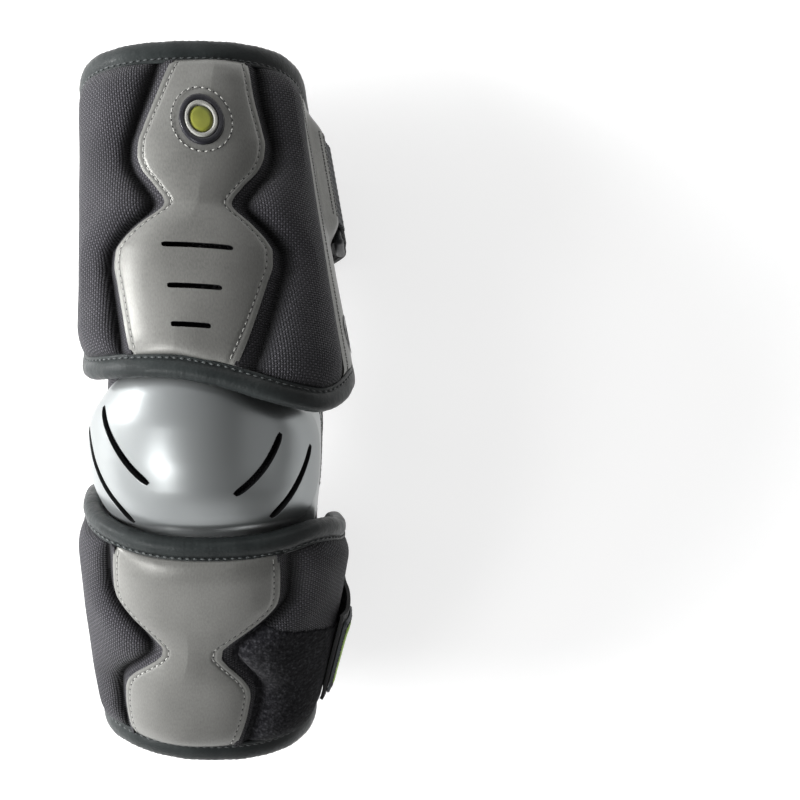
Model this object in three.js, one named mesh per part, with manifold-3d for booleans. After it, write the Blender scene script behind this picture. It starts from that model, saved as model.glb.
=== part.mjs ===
// Lacrosse elbow pad, lying on its two straps with the elbow cap uppermost.
// Millimetres. +X is the side of the strap slider and the pull tab, +Y runs up the arm, +Z is up.
// The origin is the middle of the footprint, on the surface that the straps lie on.

import * as THREE from 'three';
import { mergeVertices } from 'three/addons/utils/BufferGeometryUtils.js';
import Module from 'manifold-3d';

const wasm = await Module();
wasm.setup();
const { lerp, degToRad, clamp } = THREE.MathUtils;

// Driving dimensions
const gap = 0.4; // clearance between pieces that are sewn together
const guardSlope = degToRad(27); // fall of each guard's ridge away from the elbow
const wallThickness = 4.5; // foam and lining of a guard
const linerThickness = 4;
const sleeveThickness = 1.6;
const capThickness = 2.6;
const capSeat = 0.8; // inside of the cap above the liner
const capStep = 2.2; // the dome of the cap stands this far above its flanges
const bindingWidth = 9; // rolled vinyl edge, along the panel
const bindingHeight = 8.4; // rolled vinyl edge, through the panel
const bindingDrop = 1.2; // middle of the roll below the outer face of the panel
const strapThickness = 1.6;
const upperStrapWidth = 44;
const lowerStrapWidth = 50;
const webbingWidth = 40;
const sliderBar = 1.7; // radius of the slider's bars

// A guard is a padded panel bent round the arm. Its ridge is a straight line that falls away from the elbow.
// Across the ridge the wall follows a half oval with a flattened front. Past 90 degrees of turn it runs
// straight back, 1 mm for each further degree. The edges give the span along the ridge at each turn, and
// the lean is how far the panel drifts to the side for each millimetre along it.
const guardFullness = 0.86; // 1 is a plain ellipse, less is squarer
const upperGuard = {
  heading: 1,
  ridgeX: 1.2,
  ridgeY: 26,
  ridgeZ: 144,
  lean: -0.06,
  sections: [
    { along: 0, halfWidth: 59.5, rise: 49 },
    { along: 72, halfWidth: 53, rise: 46 },
    { along: 143, halfWidth: 46, rise: 42 },
  ],
  edges: [
    { turn: -116, low: 66, high: 104 },
    { turn: -113, low: 51, high: 117 },
    { turn: -106, low: 38, high: 129 },
    { turn: -94, low: 25, high: 137 },
    { turn: -78, low: 15, high: 141 },
    { turn: -50, low: 5, high: 143 },
    { turn: 0, low: 0, high: 143 },
    { turn: 50, low: -2, high: 143 },
    { turn: 78, low: -2, high: 141 },
    { turn: 92, low: 5, high: 138 },
    { turn: 104, low: 21, high: 131 },
    { turn: 112, low: 42, high: 119 },
    { turn: 116, low: 64, high: 104 },
  ],
};
const lowerGuard = {
  heading: -1,
  ridgeX: 0.8,
  ridgeY: -66,
  ridgeZ: 134,
  lean: -0.03,
  sections: [
    { along: 0, halfWidth: 58.5, rise: 47 },
    { along: 60, halfWidth: 52, rise: 45 },
    { along: 122, halfWidth: 42, rise: 39 },
  ],
  edges: [
    { turn: -132, low: 62, high: 93 },
    { turn: -127, low: 47, high: 105 },
    { turn: -116, low: 28, high: 113 },
    { turn: -98, low: 12, high: 117 },
    { turn: -78, low: 4, high: 115 },
    { turn: -40, low: 0, high: 112 },
    { turn: 0, low: 0, high: 112 },
    { turn: 40, low: 0, high: 112 },
    { turn: 78, low: 10, high: 115 },
    { turn: 98, low: 22, high: 117 },
    { turn: 116, low: 38, high: 113 },
    { turn: 127, low: 53, high: 105 },
    { turn: 132, low: 65, high: 93 },
  ],
};

// What is sewn to each guard, as degrees of turn at a share of the way from the elbow. The overlay has a
// middle line and a half width. A channel of bare wall is left beside it, and the seams end the cheeks.
const upperPattern = {
  guard: upperGuard,
  channel: 6.5,
  wingStart: 2,
  overlay: [
    { share: 0, middle: -10, half: 21.5 },
    { share: 0.24, middle: -7.8, half: 32 },
    { share: 0.34, middle: -6.5, half: 34.5 },
    { share: 0.42, middle: -5, half: 25 },
    { share: 0.5, middle: -3.4, half: 13 },
    { share: 0.58, middle: -1.5, half: 19.5 },
    { share: 0.66, middle: 0.2, half: 29 },
    { share: 0.72, middle: 1.5, half: 30 },
    { share: 1, middle: 8, half: 21.5 },
  ],
  seams: [
    { share: 0, left: 76, right: 69 },
    { share: 1, left: 72, right: 60 },
  ],
};
const lowerPattern = {
  guard: lowerGuard,
  channel: 6,
  wingStart: 13,
  overlay: [
    { share: 0, middle: -7.5, half: 36 },
    { share: 0.26, middle: -8.3, half: 36 },
    { share: 0.36, middle: -8.6, half: 28 },
    { share: 0.45, middle: -9, half: 16 },
    { share: 0.54, middle: -9.8, half: 10.5 },
    { share: 0.63, middle: -11.4, half: 17 },
    { share: 0.74, middle: -13.8, half: 29 },
    { share: 0.8, middle: -15.2, half: 31 },
    { share: 1, middle: -20, half: 28.5 },
  ],
  seams: [
    { share: 0, left: 90, right: 90 },
    { share: 0.5, left: 81, right: 80 },
    { share: 1, left: 72, right: 68 },
  ],
};
const ribWidth = 9; // degrees of turn

// The elbow: sections square to the arm that carry the liner, and the cap over it.
const elbowX = -1.5; // its middle line, beside that of the guards
const elbowSections = [
  { y: 54, crest: 108, halfWidth: 44, rise: 42 },
  { y: 40, crest: 119.5, halfWidth: 44.5, rise: 43 },
  { y: 30, crest: 128.5, halfWidth: 45, rise: 43 },
  { y: 20, crest: 135.2, halfWidth: 45.5, rise: 44 },
  { y: 8, crest: 140.8, halfWidth: 46, rise: 44 },
  { y: -6, crest: 143.6, halfWidth: 46.5, rise: 44 },
  { y: -20, crest: 144.2, halfWidth: 46.5, rise: 44 },
  { y: -34, crest: 142.4, halfWidth: 45.7, rise: 44 },
  { y: -46, crest: 137.6, halfWidth: 44.6, rise: 43 },
  { y: -55, crest: 131, halfWidth: 43.4, rise: 42 },
  { y: -64, crest: 121.5, halfWidth: 42.4, rise: 41 },
  { y: -86, crest: 102, halfWidth: 41, rise: 40 },
];
const capReach = [
  { y: 34, turn: 98 },
  { y: 24, turn: 109 },
  { y: -8, turn: 118 },
  { y: -24, turn: 124 },
  { y: -38, turn: 131 },
  { y: -52, turn: 129 },
  { y: -64, turn: 112 },
];
const linerReach = [
  { y: 46, turn: 118 },
  { y: 30, turn: 131 },
  { y: 14, turn: 144 },
  { y: -10, turn: 138 },
  { y: -24, turn: 135 },
  { y: -38, turn: 137 },
  { y: -60, turn: 130 },
  { y: -80, turn: 116 },
];
const capSlots = [
  { fromTurn: 42, fromY: -11, toTurn: 16, toY: -35 },
  { fromTurn: 65, fromY: -18, toTurn: 36, toY: -46 },
  { fromTurn: -58, fromY: -3, toTurn: -28, toY: -32 },
  { fromTurn: -72, fromY: -8, toTurn: -41, toY: -48 },
];
const capSlotWidth = 3.6;
const capSlotBow = 2.5; // how far the middle of a slot stands off a straight line

// The sleeve's rings: each leans from its front point, inside the liner, to its back point in the crook.
const sleeveRings = [
  { frontY: 34, frontZ: 116, backY: -6, backZ: 20, halfWidth: 38.5 },
  { frontY: 8, frontZ: 134.5, backY: -16, backZ: 22, halfWidth: 40.4 },
  { frontY: -20, frontZ: 138.6, backY: -28, backZ: 23, halfWidth: 41 },
  { frontY: -46, frontZ: 131, backY: -44, backZ: 20, halfWidth: 40 },
  { frontY: -76, frontZ: 103, backY: -60, backZ: 13, halfWidth: 37.5 },
  { frontY: -106, frontZ: 90, backY: -80, backZ: 7, halfWidth: 35 },
];

const finish = {
  mesh: { color: 0x2b2b2f, roughness: 0.9, metalness: 0 },
  fabric: { color: 0x38383d, roughness: 0.85, metalness: 0 },
  silver: { color: 0xa9aaa6, roughness: 0.42, metalness: 0.25 },
  vinyl: { color: 0x3a4243, roughness: 0.5, metalness: 0 },
  cap: { color: 0x84898c, roughness: 0.28, metalness: 0.35 },
  stretch: { color: 0x1c1c1e, roughness: 0.9, metalness: 0 },
  elastic: { color: 0x19191b, roughness: 0.9, metalness: 0 },
  webbing: { color: 0x15171c, roughness: 0.8, metalness: 0 },
  loop: { color: 0x2a2a2e, roughness: 1, metalness: 0 },
  plastic: { color: 0x24272b, roughness: 0.45, metalness: 0 },
  rubber: { color: 0x272b30, roughness: 0.6, metalness: 0 },
  lime: { color: 0x8fbf2f, roughness: 0.55, metalness: 0 },
  badge: { color: 0x15161a, roughness: 0.2, metalness: 0.2 },
};

const model = new THREE.Group();

function addPiece(name, geometry, look) {
  const mesh = new THREE.Mesh(geometry, new THREE.MeshStandardMaterial(finish[look]));
  mesh.name = name;
  model.add(mesh);
}

// A column of a table at a place between its rows, on a smooth curve that never overshoots a row.
function read(table, key, at, column) {
  const rows = [...table].sort((a, b) => a[key] - b[key]);
  const place = clamp(at, rows[0][key], rows.at(-1)[key]);
  const next = clamp(rows.findIndex((row) => row[key] >= place), 1, rows.length - 1);
  const slope = (i) => (rows[i + 1][column] - rows[i][column]) / (rows[i + 1][key] - rows[i][key]);
  const tangent = (i) => {
    if (i === 0) return slope(0);
    if (i === rows.length - 1) return slope(i - 1);
    const before = slope(i - 1);
    const after = slope(i);
    return before * after <= 0 ? 0 : (2 * before * after) / (before + after);
  };
  const low = rows[next - 1];
  const high = rows[next];
  const span = high[key] - low[key];
  const t = (place - low[key]) / span;
  return (
    low[column] * (1 + 2 * t) * (1 - t) ** 2 +
    span * tangent(next - 1) * t * (1 - t) ** 2 +
    high[column] * t * t * (3 - 2 * t) +
    span * tangent(next) * t * t * (t - 1)
  );
}

// A point of a U-shaped section: how far out to the side, and how far in front of the ridge.
function sectionPoint(halfWidth, rise, fullness, turn, height) {
  const bend = degToRad(Math.min(Math.abs(turn), 90));
  const straight = Math.max(Math.abs(turn) - 90, 0);
  const [sine, cosine] = [Math.sin(bend), Math.max(Math.cos(bend), 0)];
  const slope = 2 - fullness;
  const normal = new THREE.Vector2(sine ** slope / halfWidth, cosine ** slope / rise).normalize();
  return {
    out: Math.sign(turn) * (halfWidth * sine ** fullness + normal.x * height),
    front: rise * (cosine ** fullness - 1) - straight + normal.y * height,
  };
}

function guardAxis(guard) {
  return new THREE.Vector3(0, guard.heading * Math.cos(guardSlope), -Math.sin(guardSlope));
}

function guardFront(guard) {
  return new THREE.Vector3(0, guard.heading * Math.sin(guardSlope), Math.cos(guardSlope));
}

function guardMiddle(guard, along) {
  return guard.ridgeX + guard.lean * along;
}

function guardPoint(guard, turn, along, height) {
  const halfWidth = read(guard.sections, 'along', along, 'halfWidth');
  const rise = read(guard.sections, 'along', along, 'rise');
  const { out, front } = sectionPoint(halfWidth, rise, guardFullness, turn, height);
  return new THREE.Vector3(guardMiddle(guard, along) + out, guard.ridgeY, guard.ridgeZ)
    .addScaledVector(guardAxis(guard), along)
    .addScaledVector(guardFront(guard), front);
}

// The turn at which a guard's wall is a given distance out from its middle line.
function turnAt(guard, along, out) {
  const share = Math.abs(out) / read(guard.sections, 'along', along, 'halfWidth');
  return Math.sign(out) * THREE.MathUtils.radToDeg(Math.asin(share ** (1 / guardFullness)));
}

// Distance along the ridge at a share of the way between a guard's two edges.
function alongGuard(guard, turn, share) {
  const low = read(guard.edges, 'turn', turn, 'low');
  const high = read(guard.edges, 'turn', turn, 'high');
  return lerp(low, high, share);
}

function elbowPoint(turn, y, height) {
  const halfWidth = read(elbowSections, 'y', y, 'halfWidth');
  const rise = read(elbowSections, 'y', y, 'rise');
  const { out, front } = sectionPoint(halfWidth, rise, 1, turn, height);
  return new THREE.Vector3(elbowX + out, y, read(elbowSections, 'y', y, 'crest') + front);
}

// Joins the shared vertices of a moved primitive and turns its faces outwards.
function closed(geometry) {
  geometry.deleteAttribute('normal');
  geometry.deleteAttribute('uv');
  const joined = mergeVertices(geometry, 1e-3);
  const position = joined.getAttribute('position');
  const corner = [new THREE.Vector3(), new THREE.Vector3(), new THREE.Vector3()];
  let volume = 0;
  for (let i = 0; i < joined.index.count; i += 3) {
    corner.forEach((point, k) => point.fromBufferAttribute(position, joined.index.getX(i + k)));
    volume += corner[0].dot(corner[1].clone().cross(corner[2]));
  }
  if (volume < 0) joined.index.array.reverse();
  return joined;
}

// Moves every vertex of a primitive to the place that a function gives for it.
function moved(geometry, place) {
  const position = geometry.getAttribute('position');
  for (let i = 0; i < position.count; i += 1) {
    const point = place(position.getX(i), position.getY(i), position.getZ(i));
    position.setXYZ(i, point.x, point.y, point.z);
  }
  return closed(geometry);
}

// A sheet: columns and rows run from 0 to 1 over it, and its inner and outer skins are 0 and 1.
function sheet(columns, rows, place) {
  const box = new THREE.BoxGeometry(1, 1, 1, columns, rows, 1);
  return moved(box, (x, y, z) => place(x + 0.5, y + 0.5, z > 0 ? 1 : 0));
}

function solidOf(geometry) {
  return new wasm.Manifold(
    new wasm.Mesh({
      numProp: 3,
      vertProperties: geometry.getAttribute('position').array,
      triVerts: new Uint32Array(geometry.index.array),
    }),
  );
}

function geometryOf(solid) {
  const mesh = solid.getMesh();
  const geometry = new THREE.BufferGeometry();
  geometry.setAttribute('position', new THREE.BufferAttribute(mesh.vertProperties, 3));
  geometry.setIndex(new THREE.BufferAttribute(mesh.triVerts, 1));
  return geometry;
}

function cut(geometry, cutters) {
  return geometryOf(cutters.reduce((solid, cutter) => solid.subtract(solidOf(cutter)), solidOf(geometry)));
}

function joined(geometries) {
  return geometryOf(geometries.map(solidOf).reduce((whole, solid) => whole.add(solid)));
}

// Guard walls
function guardReach(guard) {
  return guard.edges.at(-1).turn;
}

function guardWall(guard, columns, rows) {
  return sheet(columns, rows, (x, y, skin) => {
    const turn = lerp(-1, 1, x) * guardReach(guard);
    return guardPoint(guard, turn, alongGuard(guard, turn, y), skin ? 0 : -wallThickness);
  });
}

// The outline of a guard wall as places on its surface, once round.
function guardOutline(guard, columns, rows) {
  const reach = guardReach(guard);
  const places = [];
  const add = (turn, share) => places.push({ turn, along: alongGuard(guard, turn, share) });
  for (let i = 0; i < columns; i += 1) add(lerp(-reach, reach, i / columns), 1);
  for (let i = 0; i < rows; i += 1) add(reach, 1 - i / rows);
  for (let i = 0; i < columns; i += 1) add(lerp(reach, -reach, i / columns), 0);
  for (let i = 0; i < rows; i += 1) add(-reach, i / rows);
  return places;
}

// A rolled edge that follows a run of points beside a panel. Each point has a second one straight outside it.
const rollSides = 6;

function rolledEdge(points, outside, isLoop) {
  const count = points.length;
  const normals = outside.map((point, i) => point.clone().sub(points[i]).normalize());
  const step = (i) => (isLoop ? (i + count) % count : clamp(i, 0, count - 1));
  const frames = points.map((point, i) => {
    const before = point.clone().sub(points[step(i - 1)]).normalize();
    const after = points[step(i + 1)].clone().sub(point).normalize();
    const tangent = before.clone().add(after).normalize();
    const out = normals[i].clone().cross(tangent).normalize();
    const widen = 1 / Math.max(tangent.dot(after), tangent.dot(before), 0.7);
    const middle = point
      .clone()
      .addScaledVector(out, (gap + bindingWidth / 2) * widen)
      .addScaledVector(normals[i], -bindingDrop);
    return { out, normal: normals[i], middle };
  });
  const place = (frame, angle) =>
    frame.middle
      .clone()
      .addScaledVector(frame.out, (bindingWidth / 2) * Math.cos(angle))
      .addScaledVector(frame.normal, (bindingHeight / 2) * Math.sin(angle));
  const turnOf = (x, y) => Math.atan2(y, x);
  if (isLoop) {
    const ring = new THREE.TorusGeometry(2, 1, rollSides, count);
    return moved(ring, (x, y, z) => {
      const along = Math.round((turnOf(x, y) / (2 * Math.PI)) * count);
      return place(frames[step(along)], turnOf(Math.hypot(x, y) - 2, z));
    });
  }
  const rod = new THREE.CylinderGeometry(1, 1, 1, rollSides, count - 1);
  return moved(rod, (x, y, z) => {
    const frame = frames[Math.round((y + 0.5) * (count - 1))];
    return Math.hypot(x, z) < 0.5 ? frame.middle : place(frame, turnOf(z, x));
  });
}

function guardBinding(guard, columns, rows) {
  const places = guardOutline(guard, columns, rows);
  if (guard.heading < 0) places.reverse();
  const points = places.map(({ turn, along }) => guardPoint(guard, turn, along, 0));
  const outside = places.map(({ turn, along }) => guardPoint(guard, turn, along, 1));
  return rolledEdge(points, outside, true);
}

// Pads: crowned forms on a guard, thin at the seams and full in the middle.
const padMargin = 0.01; // share of the guard's length left bare at each end
const padLift = 0.9; // underside of a pad above the wall

function crownAt(x, y) {
  const across = 1 - Math.abs(2 * x - 1) ** 3;
  const lengthwise = 1 - Math.abs(2 * y - 1) ** 10;
  return across * lengthwise;
}

function patternAt(pattern, share) {
  const middle = read(pattern.overlay, 'share', share, 'middle');
  const half = read(pattern.overlay, 'share', share, 'half');
  return {
    left: middle - half,
    right: middle + half,
    leftSeam: -read(pattern.seams, 'share', share, 'left'),
    rightSeam: read(pattern.seams, 'share', share, 'right'),
    reach: guardReach(pattern.guard) - 1,
  };
}

const spans = {
  overlay: (at) => [at.left, at.right],
  cheek_left: (at, pattern) => [at.leftSeam, at.left - pattern.channel],
  cheek_right: (at, pattern) => [at.right + pattern.channel, at.rightSeam],
  rib_left: (at) => [at.leftSeam - 2 - ribWidth, at.leftSeam - 2],
  rib_right: (at) => [at.rightSeam + 2, at.rightSeam + 2 + ribWidth],
  wing_left: (at, pattern) => [-at.reach, at.leftSeam - pattern.wingStart],
  wing_right: (at, pattern) => [at.rightSeam + pattern.wingStart, at.reach],
};

function padShare(y) {
  return lerp(padMargin, 1 - padMargin, y);
}

function padHeight(pad, x, y) {
  return padLift + lerp(pad.seam, pad.crown, crownAt(x, y));
}

function padPlace(pad, x, y) {
  const share = padShare(y);
  const [from, to] = spans[pad.span](patternAt(pad.pattern, share), pad.pattern);
  const turn = lerp(from, to, x);
  return { turn, along: alongGuard(pad.pattern.guard, turn, share) };
}

function padSheet(pad) {
  const { columns, rows } = padGrids[pad.span.split('_')[0]];
  return sheet(columns, rows, (x, y, skin) => {
    const { turn, along } = padPlace(pad, x, y);
    return guardPoint(pad.pattern.guard, turn, along, skin ? padHeight(pad, x, y) : padLift);
  });
}

const padGrids = {
  overlay: { columns: 6, rows: 16 },
  cheek: { columns: 5, rows: 12 },
  rib: { columns: 3, rows: 10 },
  wing: { columns: 4, rows: 8 },
};
const [upper, lower] = [upperPattern, lowerPattern];
const pads = {
  upper_overlay: { pattern: upper, span: 'overlay', seam: 4, crown: 7.5, look: 'silver' },
  upper_cheek_left: { pattern: upper, span: 'cheek_left', seam: 2.5, crown: 8, look: 'fabric' },
  upper_cheek_right: { pattern: upper, span: 'cheek_right', seam: 2.5, crown: 8, look: 'fabric' },
  upper_wing_left: { pattern: upper, span: 'wing_left', seam: 2, crown: 2, look: 'silver' },
  upper_wing_right: { pattern: upper, span: 'wing_right', seam: 2, crown: 2, look: 'silver' },
  lower_overlay: { pattern: lower, span: 'overlay', seam: 3.5, crown: 6.5, look: 'silver' },
  lower_cheek_left: { pattern: lower, span: 'cheek_left', seam: 2.5, crown: 7, look: 'fabric' },
  lower_cheek_right: { pattern: lower, span: 'cheek_right', seam: 2.5, crown: 7, look: 'fabric' },
  lower_rib_left: { pattern: lower, span: 'rib_left', seam: 1.5, crown: 4, look: 'fabric' },
  lower_rib_right: { pattern: lower, span: 'rib_right', seam: 1.5, crown: 4, look: 'fabric' },
  lower_wing_left: { pattern: lower, span: 'wing_left', seam: 1.6, crown: 1.6, look: 'fabric' },
  lower_loop_rear: { pattern: lower, span: 'wing_right', seam: 1.6, crown: 1.6, look: 'loop' },
};

// Three slots across the lower half of the upper overlay, square to its leaning middle line.
const overlaySlots = [
  { share: 0.37, length: 32 },
  { share: 0.238, length: 25 },
  { share: 0.107, length: 17.5 },
];
const overlaySlot = { width: 2.4, tilt: degToRad(5), bottom: -1, top: 14 };

// A place midway between the upper overlay's edges, moved by distances out to the side and along the guard.
function overlayPlace(share, out, shift, height) {
  const along = alongGuard(upperGuard, 0, share);
  const { left, right } = patternAt(upperPattern, share);
  const edgeAt = (turn) => guardPoint(upperGuard, turn, along, 0).x - guardMiddle(upperGuard, along);
  const middle = (edgeAt(left) + edgeAt(right)) / 2;
  return guardPoint(upperGuard, turnAt(upperGuard, along, middle + out), along + shift, height);
}

function overlayCutter({ share, length }) {
  return sheet(6, 1, (x, y, skin) => {
    const out = (x - 0.5) * length;
    const shift = (y - 0.5) * overlaySlot.width - out * Math.tan(overlaySlot.tilt);
    return overlayPlace(share, out, shift, skin ? overlaySlot.top : overlaySlot.bottom);
  });
}

addPiece('upper_base', guardWall(upperGuard, 22, 7), 'mesh');
addPiece('upper_binding', guardBinding(upperGuard, 22, 7), 'vinyl');
addPiece('lower_base', guardWall(lowerGuard, 22, 6), 'mesh');
addPiece('lower_binding', guardBinding(lowerGuard, 22, 6), 'vinyl');
for (const [name, pad] of Object.entries(pads)) {
  const isSlotted = name === 'upper_overlay';
  addPiece(name, isSlotted ? cut(padSheet(pad), overlaySlots.map(overlayCutter)) : padSheet(pad), pad.look);
}

// Loop pile over the far half of the right lower cheek, with a straight slanting top edge.
const frontLoop = {
  from: 0.07,
  to: 0.95,
  topInner: 0.35,
  topOuter: 0.5,
  end: 0.985,
  lift: 1.1,
  thickness: 1.2,
};
const frontCheek = pads.lower_cheek_right;
addPiece(
  'lower_loop_front',
  sheet(5, 8, (x, y, skin) => {
    const across = lerp(frontLoop.from, frontLoop.to, x);
    const lengthwise = lerp(lerp(frontLoop.topInner, frontLoop.topOuter, x), frontLoop.end, y);
    const { turn, along } = padPlace(frontCheek, across, lengthwise);
    const under = padHeight(frontCheek, across, lengthwise) + frontLoop.lift;
    return guardPoint(lowerGuard, turn, along, skin ? under + frontLoop.thickness : under);
  }),
  'loop',
);

// A low oval boss in the far half of the upper overlay.
const badge = { share: 0.775, halfWidth: 9.5, halfLength: 11.5, lift: 0.5, thickness: 2.6 };
const badgeProfile = [
  new THREE.Vector2(0, 0),
  new THREE.Vector2(1, 0),
  new THREE.Vector2(1, 0.45),
  new THREE.Vector2(0.86, 0.75),
  new THREE.Vector2(0.5, 0.95),
  new THREE.Vector2(0, 1),
];
addPiece(
  'badge',
  moved(new THREE.LatheGeometry(badgeProfile, 24), (x, y, z) => {
    const seat = padLift + pads.upper_overlay.crown + badge.lift;
    return overlayPlace(badge.share, x * badge.halfWidth, z * badge.halfLength, seat + y * badge.thickness);
  }),
  'badge',
);

// Elbow liner, the cap over it, and the rolled edges along the liner's back.
const linerSpan = { top: 46, bottom: -72 };
const linerRows = 10;
const capSpan = { top: 33, bottom: -61 };
const dome = { turn: 78, flangeTurn: 85, bottom: -51, flangeBottom: -55 };
const capColumns = { dome: 8, step: 9, all: 12 }; // on each side of the crest
const capRows = { dome: 9, step: 10, all: 12 };

addPiece(
  'elbow_liner',
  sheet(20, linerRows, (x, y, skin) => {
    const along = lerp(linerSpan.bottom, linerSpan.top, y);
    const turn = lerp(-1, 1, x) * read(linerReach, 'y', along, 'turn');
    return elbowPoint(turn, along, skin ? 0 : -linerThickness);
  }),
  'fabric',
);

// Even spacing in three runs: over the dome, down its step, and over the flange.
function threeRuns(count, runs, ends) {
  if (count <= runs.dome) return lerp(ends[0], ends[1], count / runs.dome);
  if (count <= runs.step) return lerp(ends[1], ends[2], count - runs.dome);
  return lerp(ends[2], ends[3], (count - runs.step) / (runs.all - runs.step));
}

function capShell() {
  return sheet(2 * capColumns.all, capRows.all, (x, y, skin) => {
    const row = Math.round((1 - y) * capRows.all);
    const column = Math.round(lerp(-1, 1, x) * capColumns.all);
    const along = threeRuns(row, capRows, [capSpan.top, dome.bottom, dome.flangeBottom, capSpan.bottom]);
    const reach = read(capReach, 'y', along, 'turn');
    const turn = threeRuns(Math.abs(column), capColumns, [0, dome.turn, dome.flangeTurn, reach]);
    const isDome = Math.abs(column) <= capColumns.dome && row <= capRows.dome;
    const height = capSeat + (isDome ? capStep : 0) + (skin ? capThickness : 0);
    return elbowPoint(Math.sign(column) * turn, along, height);
  });
}

const domeDegree = 0.82; // length of a degree of turn on the dome

function slotCutter(slot) {
  const line = new THREE.Vector2((slot.toTurn - slot.fromTurn) * domeDegree, slot.toY - slot.fromY);
  const square = new THREE.Vector2(-line.y, line.x).normalize();
  if (square.y > 0) square.negate();
  return sheet(8, 1, (x, y, skin) => {
    const width = capSlotWidth * Math.sqrt(Math.max(1 - Math.abs(2 * x - 1) ** 4, 0.05));
    const offset = 4 * x * (1 - x) * capSlotBow + (y - 0.5) * width;
    const turn = lerp(slot.fromTurn, slot.toTurn, x) + (square.x * offset) / domeDegree;
    const height = skin ? 2 * (capSeat + capStep + capThickness) : -capSeat;
    return elbowPoint(turn, lerp(slot.fromY, slot.toY, x) + square.y * offset, height);
  });
}

addPiece('elbow_cap', cut(capShell(), capSlots.map(slotCutter)), 'cap');

for (const [name, side] of [['left', -1], ['right', 1]]) {
  const count = linerRows + 1;
  const places = [];
  for (let i = 0; i < count; i += 1) {
    const along = lerp(linerSpan.top, linerSpan.bottom, side > 0 ? i / (count - 1) : 1 - i / (count - 1));
    places.push({ turn: side * read(linerReach, 'y', along, 'turn'), along });
  }
  const points = places.map(({ turn, along }) => elbowPoint(turn, along, 0));
  const outside = places.map(({ turn, along }) => elbowPoint(turn, along, 1));
  addPiece(`elbow_binding_${name}`, rolledEdge(points, outside, false), 'vinyl');
}

// Stretch sleeve: a tube of leaning rings inside the liner, open at both ends.
const sleeveTable = sleeveRings.map((ring, i) => ({ ...ring, i }));
const sleeveFullness = 0.8;

function sleevePoint(share, angle, inset) {
  const value = (column) => read(sleeveTable, 'i', share * (sleeveRings.length - 1), column);
  const front = new THREE.Vector3(0, value('frontY'), value('frontZ'));
  const back = new THREE.Vector3(0, value('backY'), value('backZ'));
  const lean = front.clone().sub(back);
  const reach = lean.length() / 2 - inset;
  const sine = Math.sin(angle);
  const out = (value('halfWidth') - inset) * Math.sign(sine) * Math.abs(sine) ** sleeveFullness;
  const middle = front.add(back).multiplyScalar(0.5);
  return middle.addScaledVector(lean.normalize(), reach * Math.cos(angle)).setX(elbowX + out);
}

const sleeveRows = 7;
const sleeveProfile = [];
for (let i = 0; i <= sleeveRows; i += 1) sleeveProfile.push(new THREE.Vector2(2, i));
for (let i = sleeveRows; i >= 0; i -= 1) sleeveProfile.push(new THREE.Vector2(1, i));
sleeveProfile.push(new THREE.Vector2(2, 0));
addPiece(
  'inner_sleeve',
  moved(new THREE.LatheGeometry(sleeveProfile, 24), (x, y, z) =>
    sleevePoint(y / sleeveRows, Math.atan2(x, z), Math.hypot(x, z) < 1.5 ? sleeveThickness : 0),
  ),
  'stretch',
);

// Straps. A strip is a list of rows across its width, each with a point on both edges.
const stripSteps = 2; // from one row to the next

function strip(rows) {
  const curve = (edge) => new THREE.CatmullRomCurve3(rows.map((row) => row[edge]), false, 'centripetal');
  const edges = [curve('near'), curve('far')];
  const place = (share, sideways, height) => {
    const [near, far] = edges.map((edge) => edge.getPoint(share));
    const tangent = edges[0].getTangent(share).add(edges[1].getTangent(share)).normalize();
    const normal = tangent.cross(far.clone().sub(near)).normalize();
    const point = near.lerp(far, sideways).addScaledVector(normal, height);
    point.z = Math.max(point.z, strapThickness / 2 - height);
    return point;
  };
  const steps = stripSteps * (rows.length - 1);
  const geometry = sheet(1, steps, (x, y, skin) => place(y, x, (skin - 0.5) * strapThickness));
  return { geometry, place };
}

// Rows across a guard at places given as a turn, a height above its outer face and a shift along it.
function guardRows(guard, along, width, places) {
  return places.map(([turn, height, shift = 0]) => {
    const edge = (end) => guardPoint(guard, turn, along + shift + (guard.heading * end * width) / 2, height);
    return { near: edge(-1), far: edge(1) };
  });
}

// Rows under the arm, out from the guard's middle line. The tilt is the share of the guard's slope that a row
// still has.
function underRows(guard, along, width, places) {
  return places.map(([out, y, z, tilt]) => {
    const slope = guard.heading * tilt * guardSlope;
    const half = new THREE.Vector3(0, Math.cos(slope), -Math.sin(slope)).multiplyScalar(width / 2);
    const middle = new THREE.Vector3(guardMiddle(guard, along) + out, y, z);
    return { near: middle.clone().sub(half), far: middle.clone().add(half) };
  });
}

const slider = {
  along: 102,
  height: 7.1,
  bars: [106, 113, 120], // degrees of turn
  halfLength: 27.5,
  plate: 4,
  overhang: 3,
  thickness: 4.4,
};
const wrapSteps = 6;
const wrap = sliderBar + gap + strapThickness / 2; // radius of a strap's middle line round a bar

function roundBar(turn, fromDegrees, toDegrees) {
  const places = [];
  for (let i = 0; i <= wrapSteps; i += 1) {
    const angle = degToRad(lerp(fromDegrees, toDegrees, i / wrapSteps));
    places.push([turn + wrap * Math.cos(angle), slider.height + wrap * Math.sin(angle)]);
  }
  return places;
}

const [webbingBar, , elasticBar] = slider.bars;
const webbingLow = slider.height - wrap;
const webbingRun = [
  [91, webbingLow],
  [99, webbingLow],
  ...roundBar(webbingBar, -90, 90),
  [99, slider.height + 1.6],
  [91, webbingLow + strapThickness + gap + 0.3],
];
const webbing = strip(guardRows(upperGuard, slider.along, webbingWidth, webbingRun));
addPiece('webbing_tab', webbing.geometry, 'webbing');

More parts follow.
